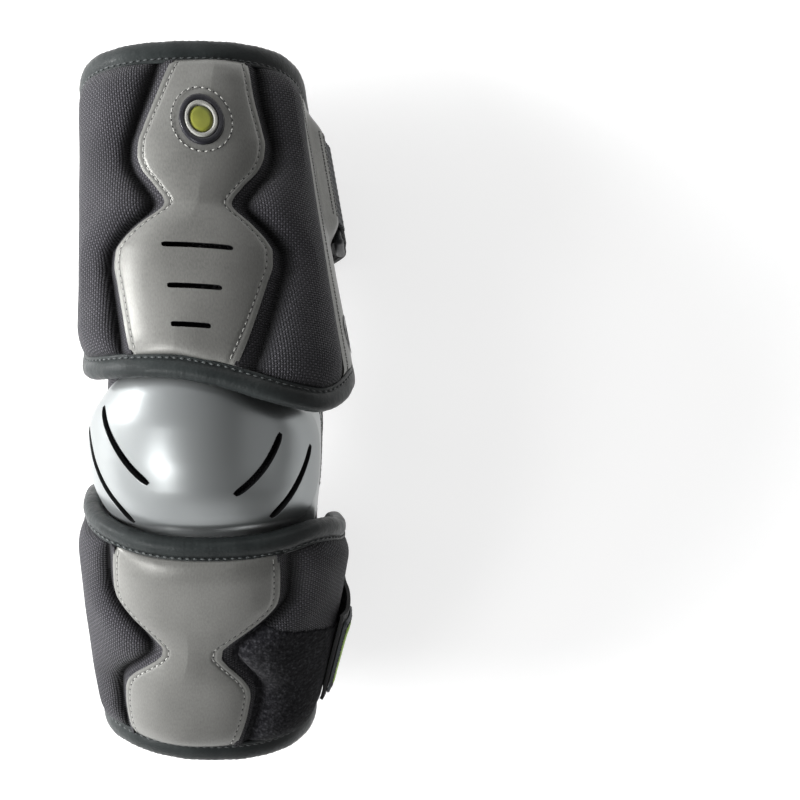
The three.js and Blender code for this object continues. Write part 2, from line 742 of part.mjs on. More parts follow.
function sliderPlate(end) {
  const near = slider.along + end * (slider.halfLength - slider.plate);
  const far = slider.along + end * slider.halfLength;
  return sheet(1, 1, (x, y, skin) => {
    const turn = lerp(webbingBar - slider.overhang, elasticBar + slider.overhang, x);
    return guardPoint(upperGuard, turn, lerp(near, far, y), slider.height + (skin - 0.5) * slider.thickness);
  });
}

function sliderRod(turn) {
  const rod = new THREE.CylinderGeometry(sliderBar, sliderBar, 2 * slider.halfLength - slider.plate, 10, 1);
  return moved(rod, (x, y, z) => guardPoint(upperGuard, turn + x, slider.along + y, slider.height + z));
}

addPiece('strap_slider', joined([...[-1, 1].map(sliderPlate), ...slider.bars.map(sliderRod)]), 'plastic');

const flat = strapThickness / 2;
const upperFloorY = 67;
const upperStrapRows = [
  ...guardRows(upperGuard, slider.along, upperStrapWidth, [
    [134, slider.height - wrap + 0.6],
    [127, slider.height - wrap],
    ...roundBar(elasticBar, 270, 90),
    [127, slider.height + wrap - 0.4],
    [135, slider.height + 2],
  ]),
  ...underRows(upperGuard, slider.along, upperStrapWidth, [
    [55, upperFloorY + 3, 5.6, 0.4],
    [46, upperFloorY, flat, 0],
    [24, upperFloorY, flat, 0],
    [-12, upperFloorY, flat, 0],
    [-36, upperFloorY, flat, 0],
    [-42, upperFloorY + 2, 5, 0.35],
  ]),
  ...guardRows(upperGuard, slider.along, upperStrapWidth, [
    [-131, -7],
    [-114, -7],
    [-99, -6.4],
  ]),
];
addPiece('upper_strap', strip(upperStrapRows).geometry, 'elastic');

const lowerStrapAlong = 83;
const lowerFloorY = -99;
const lowerStrapRows = [
  ...guardRows(lowerGuard, lowerStrapAlong, lowerStrapWidth, [
    [64, 11.6, -8],
    [70, 11.4, -7],
    [78, 10, -6],
    [88, 8, -4],
    [98, 6.4, -2],
    [112, 5],
    [128, 5],
    [139, 4.8],
  ]),
  ...underRows(lowerGuard, lowerStrapAlong, lowerStrapWidth, [
    [51, lowerFloorY - 4, 5.8, 0.4],
    [43, lowerFloorY, flat, 0],
    [22, lowerFloorY, flat, 0],
    [-12, lowerFloorY, flat, 0],
    [-33, lowerFloorY, flat, 0],
    [-39.5, lowerFloorY - 3, 5.4, 0.35],
  ]),
  ...guardRows(lowerGuard, lowerStrapAlong, lowerStrapWidth, [
    [-138, -7],
    [-124, -7],
    [-110, -6.4],
  ]),
];
const lowerStrap = strip(lowerStrapRows);
addPiece('lower_strap', lowerStrap.geometry, 'elastic');

// The pull tab at the end of the lower strap: a rubber patch with a raised tapered frame.
const tabTaper = 4;
const tabPlates = {
  patch: { from: 0.01, to: 0.165, width: 43, bottom: 0.4, top: 1.8 },
  frame: { from: 0.022, to: 0.153, width: 37, bottom: 2.1, top: 2.9 },
  window: { from: 0.04, to: 0.135, width: 32, bottom: 1, top: 4 },
};

function tabPlate({ from, to, width, bottom, top }) {
  return sheet(2, 4, (x, y, skin) => {
    const sideways = ((x - 0.5) * (width - tabTaper * y)) / lowerStrapWidth;
    return lowerStrap.place(lerp(from, to, y), 0.5 + sideways, flat + (skin ? top : bottom));
  });
}

addPiece('strap_patch', tabPlate(tabPlates.patch), 'rubber');
addPiece('patch_inlay', cut(tabPlate(tabPlates.frame), [tabPlate(tabPlates.window)]), 'lime');

// Sets the model down with the origin at the middle of its footprint.
const bounds = new THREE.Box3().setFromObject(model);
const middle = bounds.getCenter(new THREE.Vector3());
for (const mesh of model.children) mesh.geometry.translate(-middle.x, -middle.y, -bounds.min.z);

export default model;
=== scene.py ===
import math

import bpy
import numpy as np
from mathutils import Matrix, Vector


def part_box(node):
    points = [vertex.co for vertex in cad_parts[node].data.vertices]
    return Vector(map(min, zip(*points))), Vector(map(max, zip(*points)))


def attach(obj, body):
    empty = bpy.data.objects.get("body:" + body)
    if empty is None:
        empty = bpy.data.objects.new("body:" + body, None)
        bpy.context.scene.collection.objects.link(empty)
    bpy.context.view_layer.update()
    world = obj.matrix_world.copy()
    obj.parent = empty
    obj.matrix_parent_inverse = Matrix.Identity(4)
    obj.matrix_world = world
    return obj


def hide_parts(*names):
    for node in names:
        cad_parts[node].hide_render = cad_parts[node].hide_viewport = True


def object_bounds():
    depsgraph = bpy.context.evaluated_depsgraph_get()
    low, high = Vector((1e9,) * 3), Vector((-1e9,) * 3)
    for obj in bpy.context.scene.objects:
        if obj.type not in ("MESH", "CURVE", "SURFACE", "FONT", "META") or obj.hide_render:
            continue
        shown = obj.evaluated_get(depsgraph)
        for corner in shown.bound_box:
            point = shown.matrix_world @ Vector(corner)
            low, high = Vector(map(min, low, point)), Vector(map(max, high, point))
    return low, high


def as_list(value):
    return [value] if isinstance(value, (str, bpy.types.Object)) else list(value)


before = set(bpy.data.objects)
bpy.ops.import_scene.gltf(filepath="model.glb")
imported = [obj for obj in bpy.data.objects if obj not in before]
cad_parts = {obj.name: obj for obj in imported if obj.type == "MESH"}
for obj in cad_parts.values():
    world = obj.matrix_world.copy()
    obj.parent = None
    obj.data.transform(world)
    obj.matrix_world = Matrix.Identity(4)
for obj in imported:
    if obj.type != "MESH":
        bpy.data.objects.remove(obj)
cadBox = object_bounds()
mm = 0.001

# Both guards, in mm and degrees of turn: a ridge that falls away from the elbow, sections, edges
guardSlope = math.radians(27)
guardFullness = 0.86
degreeLength = 0.93  # of wall for each degree of turn, on average
skirtShare = 0.3  # of a guard's length, next to the elbow, where the skirt's move fades out
upperGuard = {
    "heading": 1, "ridge": (4.2, 26, 144), "lean": -0.1, "wingStart": 2, "reach": 115,
    "sections": {"along": [0, 72, 143], "halfWidth": [59.5, 54, 49.2], "rise": [49, 46, 42]},
    "edges": {
        "turn": [-116, -113, -106, -94, -78, -50, 0, 50, 78, 92, 104, 112, 116],
        "low": [66, 51, 38, 25, 15, 5, 0, -2, -2, 5, 21, 42, 64],
        "high": [104, 117, 129, 137, 141, 143, 143, 143, 141, 138, 131, 119, 104],
    },
    "overlay": {
        "share": [0, 0.12, 0.24, 0.31, 0.35, 0.39, 0.43, 0.5, 0.56, 0.62, 0.67, 0.71, 0.76, 0.87, 1],
        "middle": [-13.2, -10.1, -7.4, -5.9, -5, -3.8, -2.5, 0, 1.1, 2.4, 3.6, 4.7, 5.9, 8.6, 12.6],
        "half": [19.8, 25.2, 30.6, 33.4, 33.2, 29.4, 23.2, 12.4, 17.3, 24.3, 27.2, 27.6, 25.8, 21, 16.8],
    },
    "seams": {"share": [0, 0.5, 1], "left": [78, 73, 68], "right": [64, 66, 69]},
    "skirt": {
        "turn": [-116, -94, -78, -50, -14, 0, 14, 32, 44, 60, 78, 92, 104, 116],
        "move": [0, -1, -3.5, -1, -1.5, -4.5, -9, -11.8, -12, -6, 5, 8, 5, 0],
    },
}
lowerGuard = {
    "heading": -1, "ridge": (0.8, -66, 134), "lean": -0.078, "wingStart": 13, "reach": 131,
    "sections": {"along": [0, 60, 122], "halfWidth": [58.5, 54.2, 46.8], "rise": [47, 45, 39]},
    "edges": {
        "turn": [-132, -127, -116, -98, -78, -40, 0, 40, 78, 98, 116, 127, 132],
        "low": [62, 47, 28, 12, 4, 0, 0, 0, 10, 22, 38, 53, 65],
        "high": [93, 105, 112, 115, 113, 110, 112, 114, 116, 117, 113, 105, 93],
    },
    "overlay": {
        "share": [0, 0.2, 0.25, 0.29, 0.345, 0.4, 0.44, 0.47, 0.5, 0.54, 0.59, 0.645, 0.69, 0.74, 0.8, 1],
        "middle": [
            -9, -8.2, -8, -7.8, -7.6, -7.2, -7.1, -7, -7.2, -7.6, -8.4, -9.6, -10.5, -11.2, -11.8, -13,
        ],
        "half": [35.5, 36.2, 35.2, 32, 25.5, 18, 13.6, 11.4, 11.4, 13.8, 19, 24.8, 28, 29.2, 29.2, 26],
    },
    "seams": {"share": [0, 0.5, 1], "left": [90, 81, 72], "right": [90, 80, 68]},
    "skirt": {"turn": [-132, 0, 40, 60, 78, 98, 116, 132], "move": [0, 0, 0, 2, 6, 8, 5, 0]},
}

# The elbow: sections square to the arm, and how far round the cap and the liner reach
elbowX = -1.5
elbowDegreeLength = 0.82
elbowSections = {
    "y": [-86, -64, -55, -46, -34, -20, -6, 8, 20, 30, 40, 54],
    "crest": [102, 121.5, 131, 137.6, 142.4, 144.2, 143.6, 140.8, 135.2, 128.5, 119.5, 108],
    "halfWidth": [41, 42.4, 43.4, 44.6, 45.7, 46.5, 46.5, 46, 45.5, 45, 44.5, 44],
    "rise": [40, 41, 42, 43, 44, 44, 44, 44, 44, 43, 43, 42],
}
capReach = {"y": [-64, -52, -38, -24, -8, 24, 34], "turn": [112, 129, 131, 124, 118, 109, 98]}
linerReach = {"y": [-80, -60, -38, -24, -10, 14, 30, 46], "turn": [116, 130, 137, 135, 138, 144, 131, 118]}
capSpan = (-61, 33)
linerSpan = (-72, 46)

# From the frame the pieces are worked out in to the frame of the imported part
linerLow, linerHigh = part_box("elbow_liner")
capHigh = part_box("elbow_cap")[1]
shift = np.array([(linerLow.x + linerHigh.x) / 2 / mm - elbowX, capHigh.y / mm - capSpan[1], 0])


# A column of a table, read along the table's first column
def readTable(table, column, at):
    xs = np.array(next(iter(table.values())), float)
    ys = np.array(table[column], float)
    at = np.clip(np.asarray(at, float), xs[0], xs[-1])
    slopes = np.diff(ys) / np.diff(xs)
    before, after = slopes[:-1], slopes[1:]
    total = np.where(before + after == 0, 1, before + after)
    inner = np.where(before * after <= 0, 0, 2 * before * after / total)  # never overshoots a row
    tangents = np.concatenate([slopes[:1], inner, slopes[-1:]])
    i = np.clip(np.searchsorted(xs, at) - 1, 0, len(xs) - 2)
    span = xs[i + 1] - xs[i]
    t = (at - xs[i]) / span
    ends = ys[i] * (1 + 2 * t) * (1 - t) ** 2 + ys[i + 1] * t * t * (3 - 2 * t)
    return ends + span * (tangents[i] * t * (1 - t) ** 2 + tangents[i + 1] * t * t * (t - 1))


def sectionPoint(halfWidth, rise, fullness, turn, height):
    bend = np.radians(np.minimum(np.abs(turn), 90))
    straight = np.maximum(np.abs(turn) - 90, 0)
    sine, cosine = np.sin(bend), np.maximum(np.cos(bend), 0)
    normalX, normalZ = sine ** (2 - fullness) / halfWidth, cosine ** (2 - fullness) / rise
    size = np.hypot(normalX, normalZ)
    out = np.sign(turn) * (halfWidth * sine**fullness + normalX / size * height)
    return out, rise * (cosine**fullness - 1) - straight + normalZ / size * height


def guardPoint(guard, turn, along, height):
    turn, along, height = np.broadcast_arrays(*[np.asarray(a, float) for a in (turn, along, height)])
    halfWidth = readTable(guard["sections"], "halfWidth", along)
    rise = readTable(guard["sections"], "rise", along)
    out, front = sectionPoint(halfWidth, rise, guardFullness, turn, height)
    ridgeX, ridgeY, ridgeZ = guard["ridge"]
    cosine, sine = math.cos(guardSlope), math.sin(guardSlope)
    y = ridgeY + guard["heading"] * (cosine * along + sine * front)
    return np.stack([ridgeX + guard["lean"] * along + out, y, ridgeZ - sine * along + cosine * front], -1)


def alongGuard(guard, turn, share):
    low = readTable(guard["edges"], "low", turn)
    skirt = readTable(guard["skirt"], "move", turn) * np.maximum(1 - share / skirtShare, 0) ** 2
    return low + (readTable(guard["edges"], "high", turn) - low) * share + skirt


# A grid's rows run up the arm, shares of a guard run away from the elbow
def fromElbow(guard, v):
    return v if guard["heading"] > 0 else 1 - v


def elbowPoint(turn, y, height):
    turn, y, height = np.broadcast_arrays(*[np.asarray(a, float) for a in (turn, y, height)])
    halfWidth = readTable(elbowSections, "halfWidth", y)
    out, front = sectionPoint(halfWidth, readTable(elbowSections, "rise", y), 1, turn, height)
    return np.stack([elbowX + out, y, readTable(elbowSections, "crest", y) + front], -1)


def ease(x):
    x = np.clip(x, 0, 1)
    return x * x * (3 - 2 * x)


def pillow(x):
    return np.sqrt(np.maximum(1 - (1 - np.clip(x, 0, 1)) ** 2, 0))


def bell(x):
    return np.exp(-(x**2))


def blend(first, last, share):
    return first + (last - first) * share


def ripple(a, b, seed):
    waves = [(0.11, 0.05, 0.3), (0.05, -0.13, 1.9), (0.19, 0.11, 4.1), (-0.08, 0.23, 2.6)]
    return sum(np.sin(a * p + b * q + r * seed + seed) for p, q, r in waves) / len(waves)


def unit(values):
    return values / np.linalg.norm(values, axis=-1, keepdims=True)


# Points over a surface and the directions out of it, where at(height) gives points at a height
def raised(at, height=0.0):
    points = at(height)
    return points, unit(at(height + 1) - points)


def lineLengths(points):
    return np.concatenate([[0], np.cumsum(np.linalg.norm(np.diff(points, axis=0), axis=1))])


def pickAlong(lengths, values, at):
    return np.stack([np.interp(at, lengths, values[:, k]) for k in range(3)], -1)


# Small modelling helpers; the last object selected is the active one
def selectOnly(*objects):
    bpy.ops.object.select_all(action="DESELECT")
    for obj in objects:
        obj.select_set(True)
        bpy.context.view_layer.objects.active = obj


def modify(obj, kind, **settings):
    bpy.context.view_layer.objects.active = obj
    modifier = obj.modifiers.new(kind.title(), kind)
    for key, value in settings.items():
        setattr(modifier, key, value)
    bpy.ops.object.modifier_apply(modifier=modifier.name)


def editAll(obj, *steps):
    selectOnly(obj)
    bpy.ops.object.mode_set(mode="EDIT")
    bpy.ops.mesh.select_all(action="SELECT")
    for step in steps:
        step()
    bpy.ops.object.mode_set(mode="OBJECT")


def mergeDoubles():
    bpy.ops.mesh.remove_doubles(threshold=0.01 * mm)


def faceOut():
    bpy.ops.mesh.normals_make_consistent(inside=False)


def closeEnds():
    bpy.ops.mesh.select_all(action="DESELECT")
    bpy.ops.mesh.select_non_manifold()
    bpy.ops.mesh.edge_face_add()
    bpy.ops.mesh.select_all(action="SELECT")


def smoothShade(obj, angle):
    selectOnly(obj)
    bpy.ops.object.shade_smooth_by_angle(angle=math.radians(angle))


def pieceName(node):
    first, *rest = node.split("_")
    return first + "".join(word.title() for word in rest)


def getPoints(mesh):
    flat = np.empty(len(mesh.vertices) * 3)
    mesh.vertices.foreach_get("co", flat)
    return flat.reshape(-1, 3).T


def setPoints(mesh, points):
    mesh.vertices.foreach_set("co", ((points + shift) * mm).ravel())
    mesh.update()


# A grid laid on a surface: place(u, v) gives points, cloth coordinates in mm and, for some, how much painted
# shade darkens each point
def layGrid(name, columns, rows, place):
    bpy.ops.mesh.primitive_grid_add(x_subdivisions=columns, y_subdivisions=rows, size=1)
    obj = bpy.context.object
    obj.name = obj.data.name = pieceName(name)
    mesh = obj.data
    x, y, _ = getPoints(mesh)
    points, cloth, *paintedShade = place(x + 0.5, y + 0.5)
    # Painted shade along creases, seams and ends, kept on the points for the cloth's colour
    if paintedShade:
        mesh.attributes.new("paintedSeamShade", "FLOAT", "POINT").data.foreach_set("value", paintedShade[0])
    corner = np.empty(len(mesh.loops), int)
    mesh.loops.foreach_get("vertex_index", corner)
    mesh.uv_layers.active.data.foreach_set("uv", (np.stack(cloth, -1)[corner] * mm).ravel())
    setPoints(mesh, points)
    return obj


# Mean width and length of a laid grid, in metres
def flatSize(place, samples=80):
    steps = np.linspace(0, 1, samples)
    u, v = [values.ravel() for values in np.meshgrid(steps, steps)]
    points = place(u, v)[0].reshape(samples, samples, 3)
    return [np.linalg.norm(np.diff(points, axis=k), axis=2).sum(axis=k).mean() * mm for k in (1, 0)]


def dress(obj, finish, slot, nodes=(), fill=None):
    obj.data.materials.clear()
    obj.data.materials.append(finishes[finish])
    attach(obj, "root")
    if nodes:
        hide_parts(*nodes)


# A laid grid as a whole piece: its look names a finish and a slot, of which the finish is put on, and it
# replaces the node of its name
def layPiece(name, spec, place):
    obj = layGrid(name, *spec["grid"], place)
    if "edit" in spec:
        editAll(obj, *spec["edit"])
    modify(obj, "SOLIDIFY", thickness=spec["thickness"] * mm, offset=-1)
    dress(obj, *spec["look"], spec.get("nodes", [name]), spec.get("fill"))
    if "reshape" in spec:
        spec["reshape"](obj)
    if spec["smooth"]:
        smoothShade(obj, spec["smooth"])
    if "held" in spec:
        flat = spec.get("flat") or flatSize(place)
        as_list(spec["restsOn"])


closedRound = (mergeDoubles, faceOut)

# Finishes
finishes = {}


def shaderInput(mat, name):
    return mat.node_tree.nodes["Principled BSDF"].inputs[name]


def newFinish(name, color, roughness, specular=0.5, metallic=0.0, sheen=0.0):
    mat = finishes[name] = bpy.data.materials.new(name)
    mat.use_nodes = True
    keys = ("Base Color", "Roughness", "Specular IOR Level", "Metallic", "Sheen Weight")
    for key, value in zip(keys, ((*color, 1), roughness, specular, metallic, sheen)):
        shaderInput(mat, key).default_value = value
    return mat


def isSocket(value):
    return isinstance(value, bpy.types.NodeSocket)


# A node in the tree of the sockets that feed it
def addNode(kind, inputs, **props):
    tree = next(value.id_data for value in inputs.values() if isSocket(value))
    made = tree.nodes.new(kind)
    for key, value in props.items():
        setattr(made, key, value)
    for key, value in inputs.items():
        if isSocket(value):
            tree.links.new(value, made.inputs[key])
        else:
            made.inputs[key].default_value = value
    return made


def calc(operation, first, second=0.0):
    return addNode("ShaderNodeMath", {0: first, 1: second}, operation=operation).outputs[0]


def times(first, second):
    return calc("MULTIPLY", first, second)


def plus(first, second):
    return calc("ADD", first, second)


def texCoords(mat, kind="Object"):
    return mat.node_tree.nodes.new("ShaderNodeTexCoord").outputs[kind]


def noise(coords, scale, detail=3.0, roughness=0.5):
    inputs = {"Vector": coords, "Scale": scale, "Detail": detail, "Roughness": roughness}
    return addNode("ShaderNodeTexNoise", inputs).outputs["Fac"]


def cells(coords, scale):
    return addNode("ShaderNodeTexVoronoi", {"Vector": coords, "Scale": scale}).outputs["Distance"]


def ramp(value, low, high, toLow, toHigh):
    inputs = {"Value": value, "From Min": low, "From Max": high, "To Min": toLow, "To Max": toHigh}
    return addNode("ShaderNodeMapRange", inputs).outputs[0]


# Noise stays mostly between 0.3 and 0.7
def spread(value, toLow=0.0, toHigh=1.0):
    return ramp(value, 0.3, 0.7, toLow, toHigh)


def blendColors(factor, first, second):
    first, second = [color if isSocket(color) else (*color, 1) for color in (first, second)]
    return addNode("ShaderNodeMix", {0: factor, 6: first, 7: second}, data_type="RGBA").outputs[2]


def setSocket(mat, name, value):
    mat.node_tree.links.new(value, shaderInput(mat, name))


def setColors(mat, factor, first, second):
    setSocket(mat, "Base Color", blendColors(factor, first, second))


def setBump(mat, height, distance):
    inputs = {"Height": height, "Distance": distance * mm}
    setSocket(mat, "Normal", addNode("ShaderNodeBump", inputs).outputs[0])


# Threads over and under each other: bead height, and which of the two lies on top
def weave(mat, pitches):
    split = addNode("ShaderNodeSeparateXYZ", {0: texCoords(mat, "UV")})
    threads = [times(split.outputs[k], 1 / (pitch * mm)) for k, pitch in enumerate(pitches)]
    beads = [calc("ABSOLUTE", calc("SINE", times(t, math.pi))) for t in threads]
    squares = plus(*[calc("FLOOR", t) for t in threads])
    onTop = times(calc("FRACT", times(squares, 0.5)), 2.0)
    return times(*beads), onTop


def wovenNylon():
    look = {
        # seam: the near-black colour of the painted shade in creases and seams, and how far it is mixed in
        "shade": (0.012, 0.012, 0.014), "light": (0.078, 0.075, 0.085), "seam": (0.002, 0.002, 0.0025),
        "pitches": (1.15, 1.15), "under": 0.25, "patches": 60, "patchShade": 0.5, "paintedShadeDepth": 0.85,
    }
    mat = newFinish("wovenNylon", look["light"], 0.6, specular=0.22, sheen=0.05)
    bead, onTop = weave(mat, look["pitches"])
    patchy = spread(noise(texCoords(mat), look["patches"], 5, 0.6), look["patchShade"], 1.0)
    # The weave pattern is the cloth's own; its colour is painted light: a painted highlight on thread crowns,
    # painted shade in the dips and on the threads underneath
    lit = times(ramp(onTop, 0, 1, look["under"], 1.0), times(bead, patchy))
    # Painted shade from the points darkens the weave and blends it towards the near-black seam colour
    attribute = mat.node_tree.nodes.new("ShaderNodeAttribute")
    attribute.attribute_name = "paintedSeamShade"
    seam = attribute.outputs["Fac"]
    lit = times(lit, calc("SUBTRACT", 1.0, seam))
    plain = blendColors(lit, look["shade"], look["light"])
    setColors(mat, times(seam, look["paintedShadeDepth"]), plain, look["seam"])
    setSocket(mat, "Roughness", ramp(bead, 0, 1, 0.8, 0.5))
    setBump(mat, bead, 0.4)


# Darker cloths, some with every second thread's square painted in shade or with patches (noise scale, shade).
# Thread crowns carry a painted highlight, the dips between threads painted shade
cloths = {
    "spacerMesh": {
        "shade": (0.003, 0.003, 0.0035), "light": (0.016, 0.016, 0.018), "pitches": (1.6, 1.6), "bump": 0.5,
        "surface": {"roughness": 0.75, "specular": 0.35, "sheen": 0.1}, "isChecked": True,
    },
    "stretchKnit": {
        "shade": (0.004, 0.004, 0.005), "light": (0.018, 0.018, 0.02), "pitches": (0.7, 1.1), "bump": 0.2,
        "surface": {"roughness": 0.75, "specular": 0.35, "sheen": 0.2},
    },
    "elasticWeb": {
        "shade": (0.003, 0.003, 0.0035), "light": (0.018, 0.018, 0.02), "pitches": (0.9, 0.6), "bump": 0.3,
        "surface": {"roughness": 0.7, "specular": 0.4, "sheen": 0.15}, "patches": (60, 0.7),
    },
    "basketWebbing": {
        "shade": (0.003, 0.004, 0.0055), "light": (0.02, 0.023, 0.029), "pitches": (0.45, 3.0), "bump": 0.15,
        "surface": {"roughness": 0.5, "specular": 0.4},
    },
}


def wovenCloth(name, look):
    mat = newFinish(name, look["light"], **look["surface"])
    bead, onTop = weave(mat, look["pitches"])
    # Painted highlight on thread crowns, painted shade in the dips and, for checked cloth, on the threads
    # underneath
    lit = times(bead, onTop) if "isChecked" in look else bead
    if "patches" in look:
        scale, shade = look["patches"]
        lit = times(lit, spread(noise(texCoords(mat), scale), shade, 1.0))
    setColors(mat, lit, look["shade"], look["light"])
    setBump(mat, bead, look["bump"])


def silverLeather():
    look = {
        "shade": (0.125, 0.125, 0.118), "light": (0.21, 0.21, 0.199), "streaks": (2000, 600, 1),
        "clouds": 30, "pebbles": 150, "grain": 1500, "streakShare": 0.55,
    }
    mat = newFinish("silverLeather", look["light"], 0.4, metallic=0.6)
    coords = texCoords(mat)
    stretched = addNode("ShaderNodeMapping", {"Vector": texCoords(mat, "UV"), "Scale": look["streaks"]})
    streaks = noise(stretched.outputs[0], 1, 3, 0.6)
    clouds = times(noise(coords, look["clouds"], 4), 1 - look["streakShare"])
    mottle = plus(times(streaks, look["streakShare"]), clouds)
    setColors(mat, spread(mottle), look["shade"], look["light"])
    setSocket(mat, "Roughness", spread(streaks, 0.32, 0.44))
    grain = times(noise(coords, look["grain"], 3, 0.6), 0.4)
    grain = plus(grain, noise(coords, look["pebbles"], 4))
    setBump(mat, plus(grain, times(streaks, 0.3)), 0.1)


def edgeVinyl():
    look = {
        "shade": (0.008, 0.0098, 0.01), "light": (0.016, 0.019, 0.019), "wear": 70, "gloss": 320,
        "pebbles": 900, "waves": 120,
    }
    mat = newFinish("edgeVinyl", look["light"], 0.42, specular=0.3)
    coords = texCoords(mat)
    setColors(mat, spread(noise(coords, look["wear"], 4, 0.6)), look["shade"], look["light"])
    setSocket(mat, "Roughness", spread(noise(coords, look["gloss"]), 0.36, 0.52))
    setBump(mat, plus(cells(coords, look["pebbles"]), noise(coords, look["waves"])), 0.08)


def capShell():
    look = {"shade": (0.27, 0.285, 0.29), "light": (0.32, 0.335, 0.335), "flow": 12}
    mat = newFinish("capShell", look["light"], 0.33, metallic=0.8)
    flow = spread(noise(texCoords(mat), look["flow"], 2))
    setColors(mat, flow, look["shade"], look["light"])
    setSocket(mat, "Roughness", ramp(flow, 0, 1, 0.31, 0.35))


# Near-black painted shade for the walls of cut slots; a cutter hands it to the walls it cuts
def paintedSlotShade():
    mat = newFinish("paintedSlotShade", (0.012, 0.012, 0.013), 0.6)
    setSocket(mat, "Roughness", spread(noise(texCoords(mat), 500), 0.5, 0.7))


def loopPile():
    look = {"shade": (0.003, 0.003, 0.004), "light": (0.042, 0.042, 0.046), "loops": 700, "tufts": 420}
    mat = newFinish("loopPile", look["light"], 0.95, specular=0.06, sheen=0.05)
    coords = texCoords(mat)
    loops = cells(coords, look["loops"])
    tufts = noise(coords, look["tufts"], 5, 0.8)
    lit = times(ramp(tufts, 0.42, 0.62, 0.05, 1.0), ramp(loops, 0, 0.7, 1.0, 0.2))
    setColors(mat, lit, look["shade"], look["light"])
    setBump(mat, plus(tufts, times(loops, -0.8)), 0.25)


# Shade, light and roughness
mouldings = {
    "sliderPlastic": ((0.012, 0.013, 0.015), (0.03, 0.032, 0.036), 0.4),
    "patchRubber": ((0.024, 0.028, 0.033), (0.045, 0.052, 0.06), 0.5),
    "limeRubber": ((0.22, 0.38, 0.02), (0.32, 0.52, 0.035), 0.45),
    "badgeGloss": ((0.006, 0.006, 0.008), (0.016, 0.016, 0.02), 0.2),
    "badgeSilver": ((0.15, 0.15, 0.14), (0.24, 0.24, 0.22), 0.3),
    "badgeOlive": ((0.1, 0.11, 0.014), (0.17, 0.175, 0.027), 0.35),
}
threads = {
    "silverThread": ((0.16, 0.16, 0.15), (0.3, 0.3, 0.285)),
    "darkThread": ((0.012, 0.014, 0.015), (0.05, 0.056, 0.056)),
    # Needle holes: near-black dots, painted shade where the thread goes into the leather
    "needleHoleShade": ((0.004, 0.004, 0.004), (0.016, 0.016, 0.016)),
    "printInk": ((0.035, 0.038, 0.042), (0.055, 0.06, 0.065)),
}


def mouldedFinish(name, shade, light, roughness):
    scales = {"flow": 90, "grain": 1800}
    mat = newFinish(name, light, roughness, specular=0.45)
    coords = texCoords(mat)
    setColors(mat, spread(noise(coords, scales["flow"], 4)), shade, light)
    grain = noise(coords, scales["grain"], 2)
    setSocket(mat, "Roughness", spread(grain, roughness - 0.06, roughness + 0.08))
    setBump(mat, grain, 0.05)


def threadFinish(name, shade, light):
    mat = newFinish(name, light, 0.55, specular=0.4, sheen=0.2)
    twist = noise(texCoords(mat), 2600, 2)
    setColors(mat, spread(twist), shade, light)
    setBump(mat, twist, 0.06)


for makeFinish in (wovenNylon, silverLeather, edgeVinyl, capShell, paintedSlotShade, loopPile):
    makeFinish()
for finishName, finishLook in cloths.items():
    wovenCloth(finishName, finishLook)
for finishName, finishLook in mouldings.items():
    mouldedFinish(finishName, *finishLook)
for finishName, finishLook in threads.items():
    threadFinish(finishName, *finishLook)
print("finishes", len(finishes))

# Camera: photo pixel of the part's middle, turn to the side, lean up the arm, roll
camera = {
    "pixel": (215, 409), "turn": 1.5, "lean": 9, "roll": -1, "distance": 1.8, "mmPerPixel": 0.459,
    "photoSize": 800, "aimShare": 0.6,
}


def addCamera():
    turn, lean, roll = [math.radians(camera[k]) for k in ("turn", "lean", "roll")]
    axes = Matrix.Rotation(turn, 4, "Y") @ Matrix.Rotation(-lean, 4, "X") @ Matrix.Rotation(roll, 4, "Z")
    aim = Matrix.Translation((0, 0, camera["aimShare"] * cadBox[1].z))
    perPixel = camera["mmPerPixel"] * mm
    offsetX, offsetY = [(camera["photoSize"] / 2 - pixel) * perPixel for pixel in camera["pixel"]]
    bpy.ops.object.camera_add()
    made = bpy.context.object
    made.data.lens = made.data.sensor_width * camera["distance"] / (camera["photoSize"] * perPixel)
    made.matrix_world = aim @ axes @ Matrix.Translation((offsetX, -offsetY, camera["distance"]))
    bpy.context.scene.camera = made


lights = {
    "softKey": {"place": (-1.2, 0.05, 0.6), "size": (0.9, 0.5), "power": 65, "glossy": False},
    "highlight": {"place": (-0.76, -0.35, 0.97), "size": (0.45, 0.3), "power": 4.5},
    "edgeLight": {"place": (-1.15, 0.35, 0.3), "size": (0.3, 0.22), "power": 6},
    "sideCard": {"place": (1.1, -0.1, 0.9), "size": (1.2, 1.0), "power": 1.4, "diffuse": False},
    "endLight": {"place": (0.0, -1.3, 0.6), "size": (1.0, 0.5), "power": 0.7},
    "backLight": {"place": (0.1, 1.3, 0.6), "size": (1.2, 0.6), "power": 1.5},
}
lightAim = Vector((0, 0, 0.08))
floorLook = {"color": (0.4, 0.4, 0.4), "glow": 0.74, "size": 8}
# Light from the sky, from left to right and from level to overhead
worldLight = {"side": (-0.8, 0.6), "sideLight": (1.1, 0.25), "rise": (0.2, 0.95), "riseLight": (1, 0.25)}


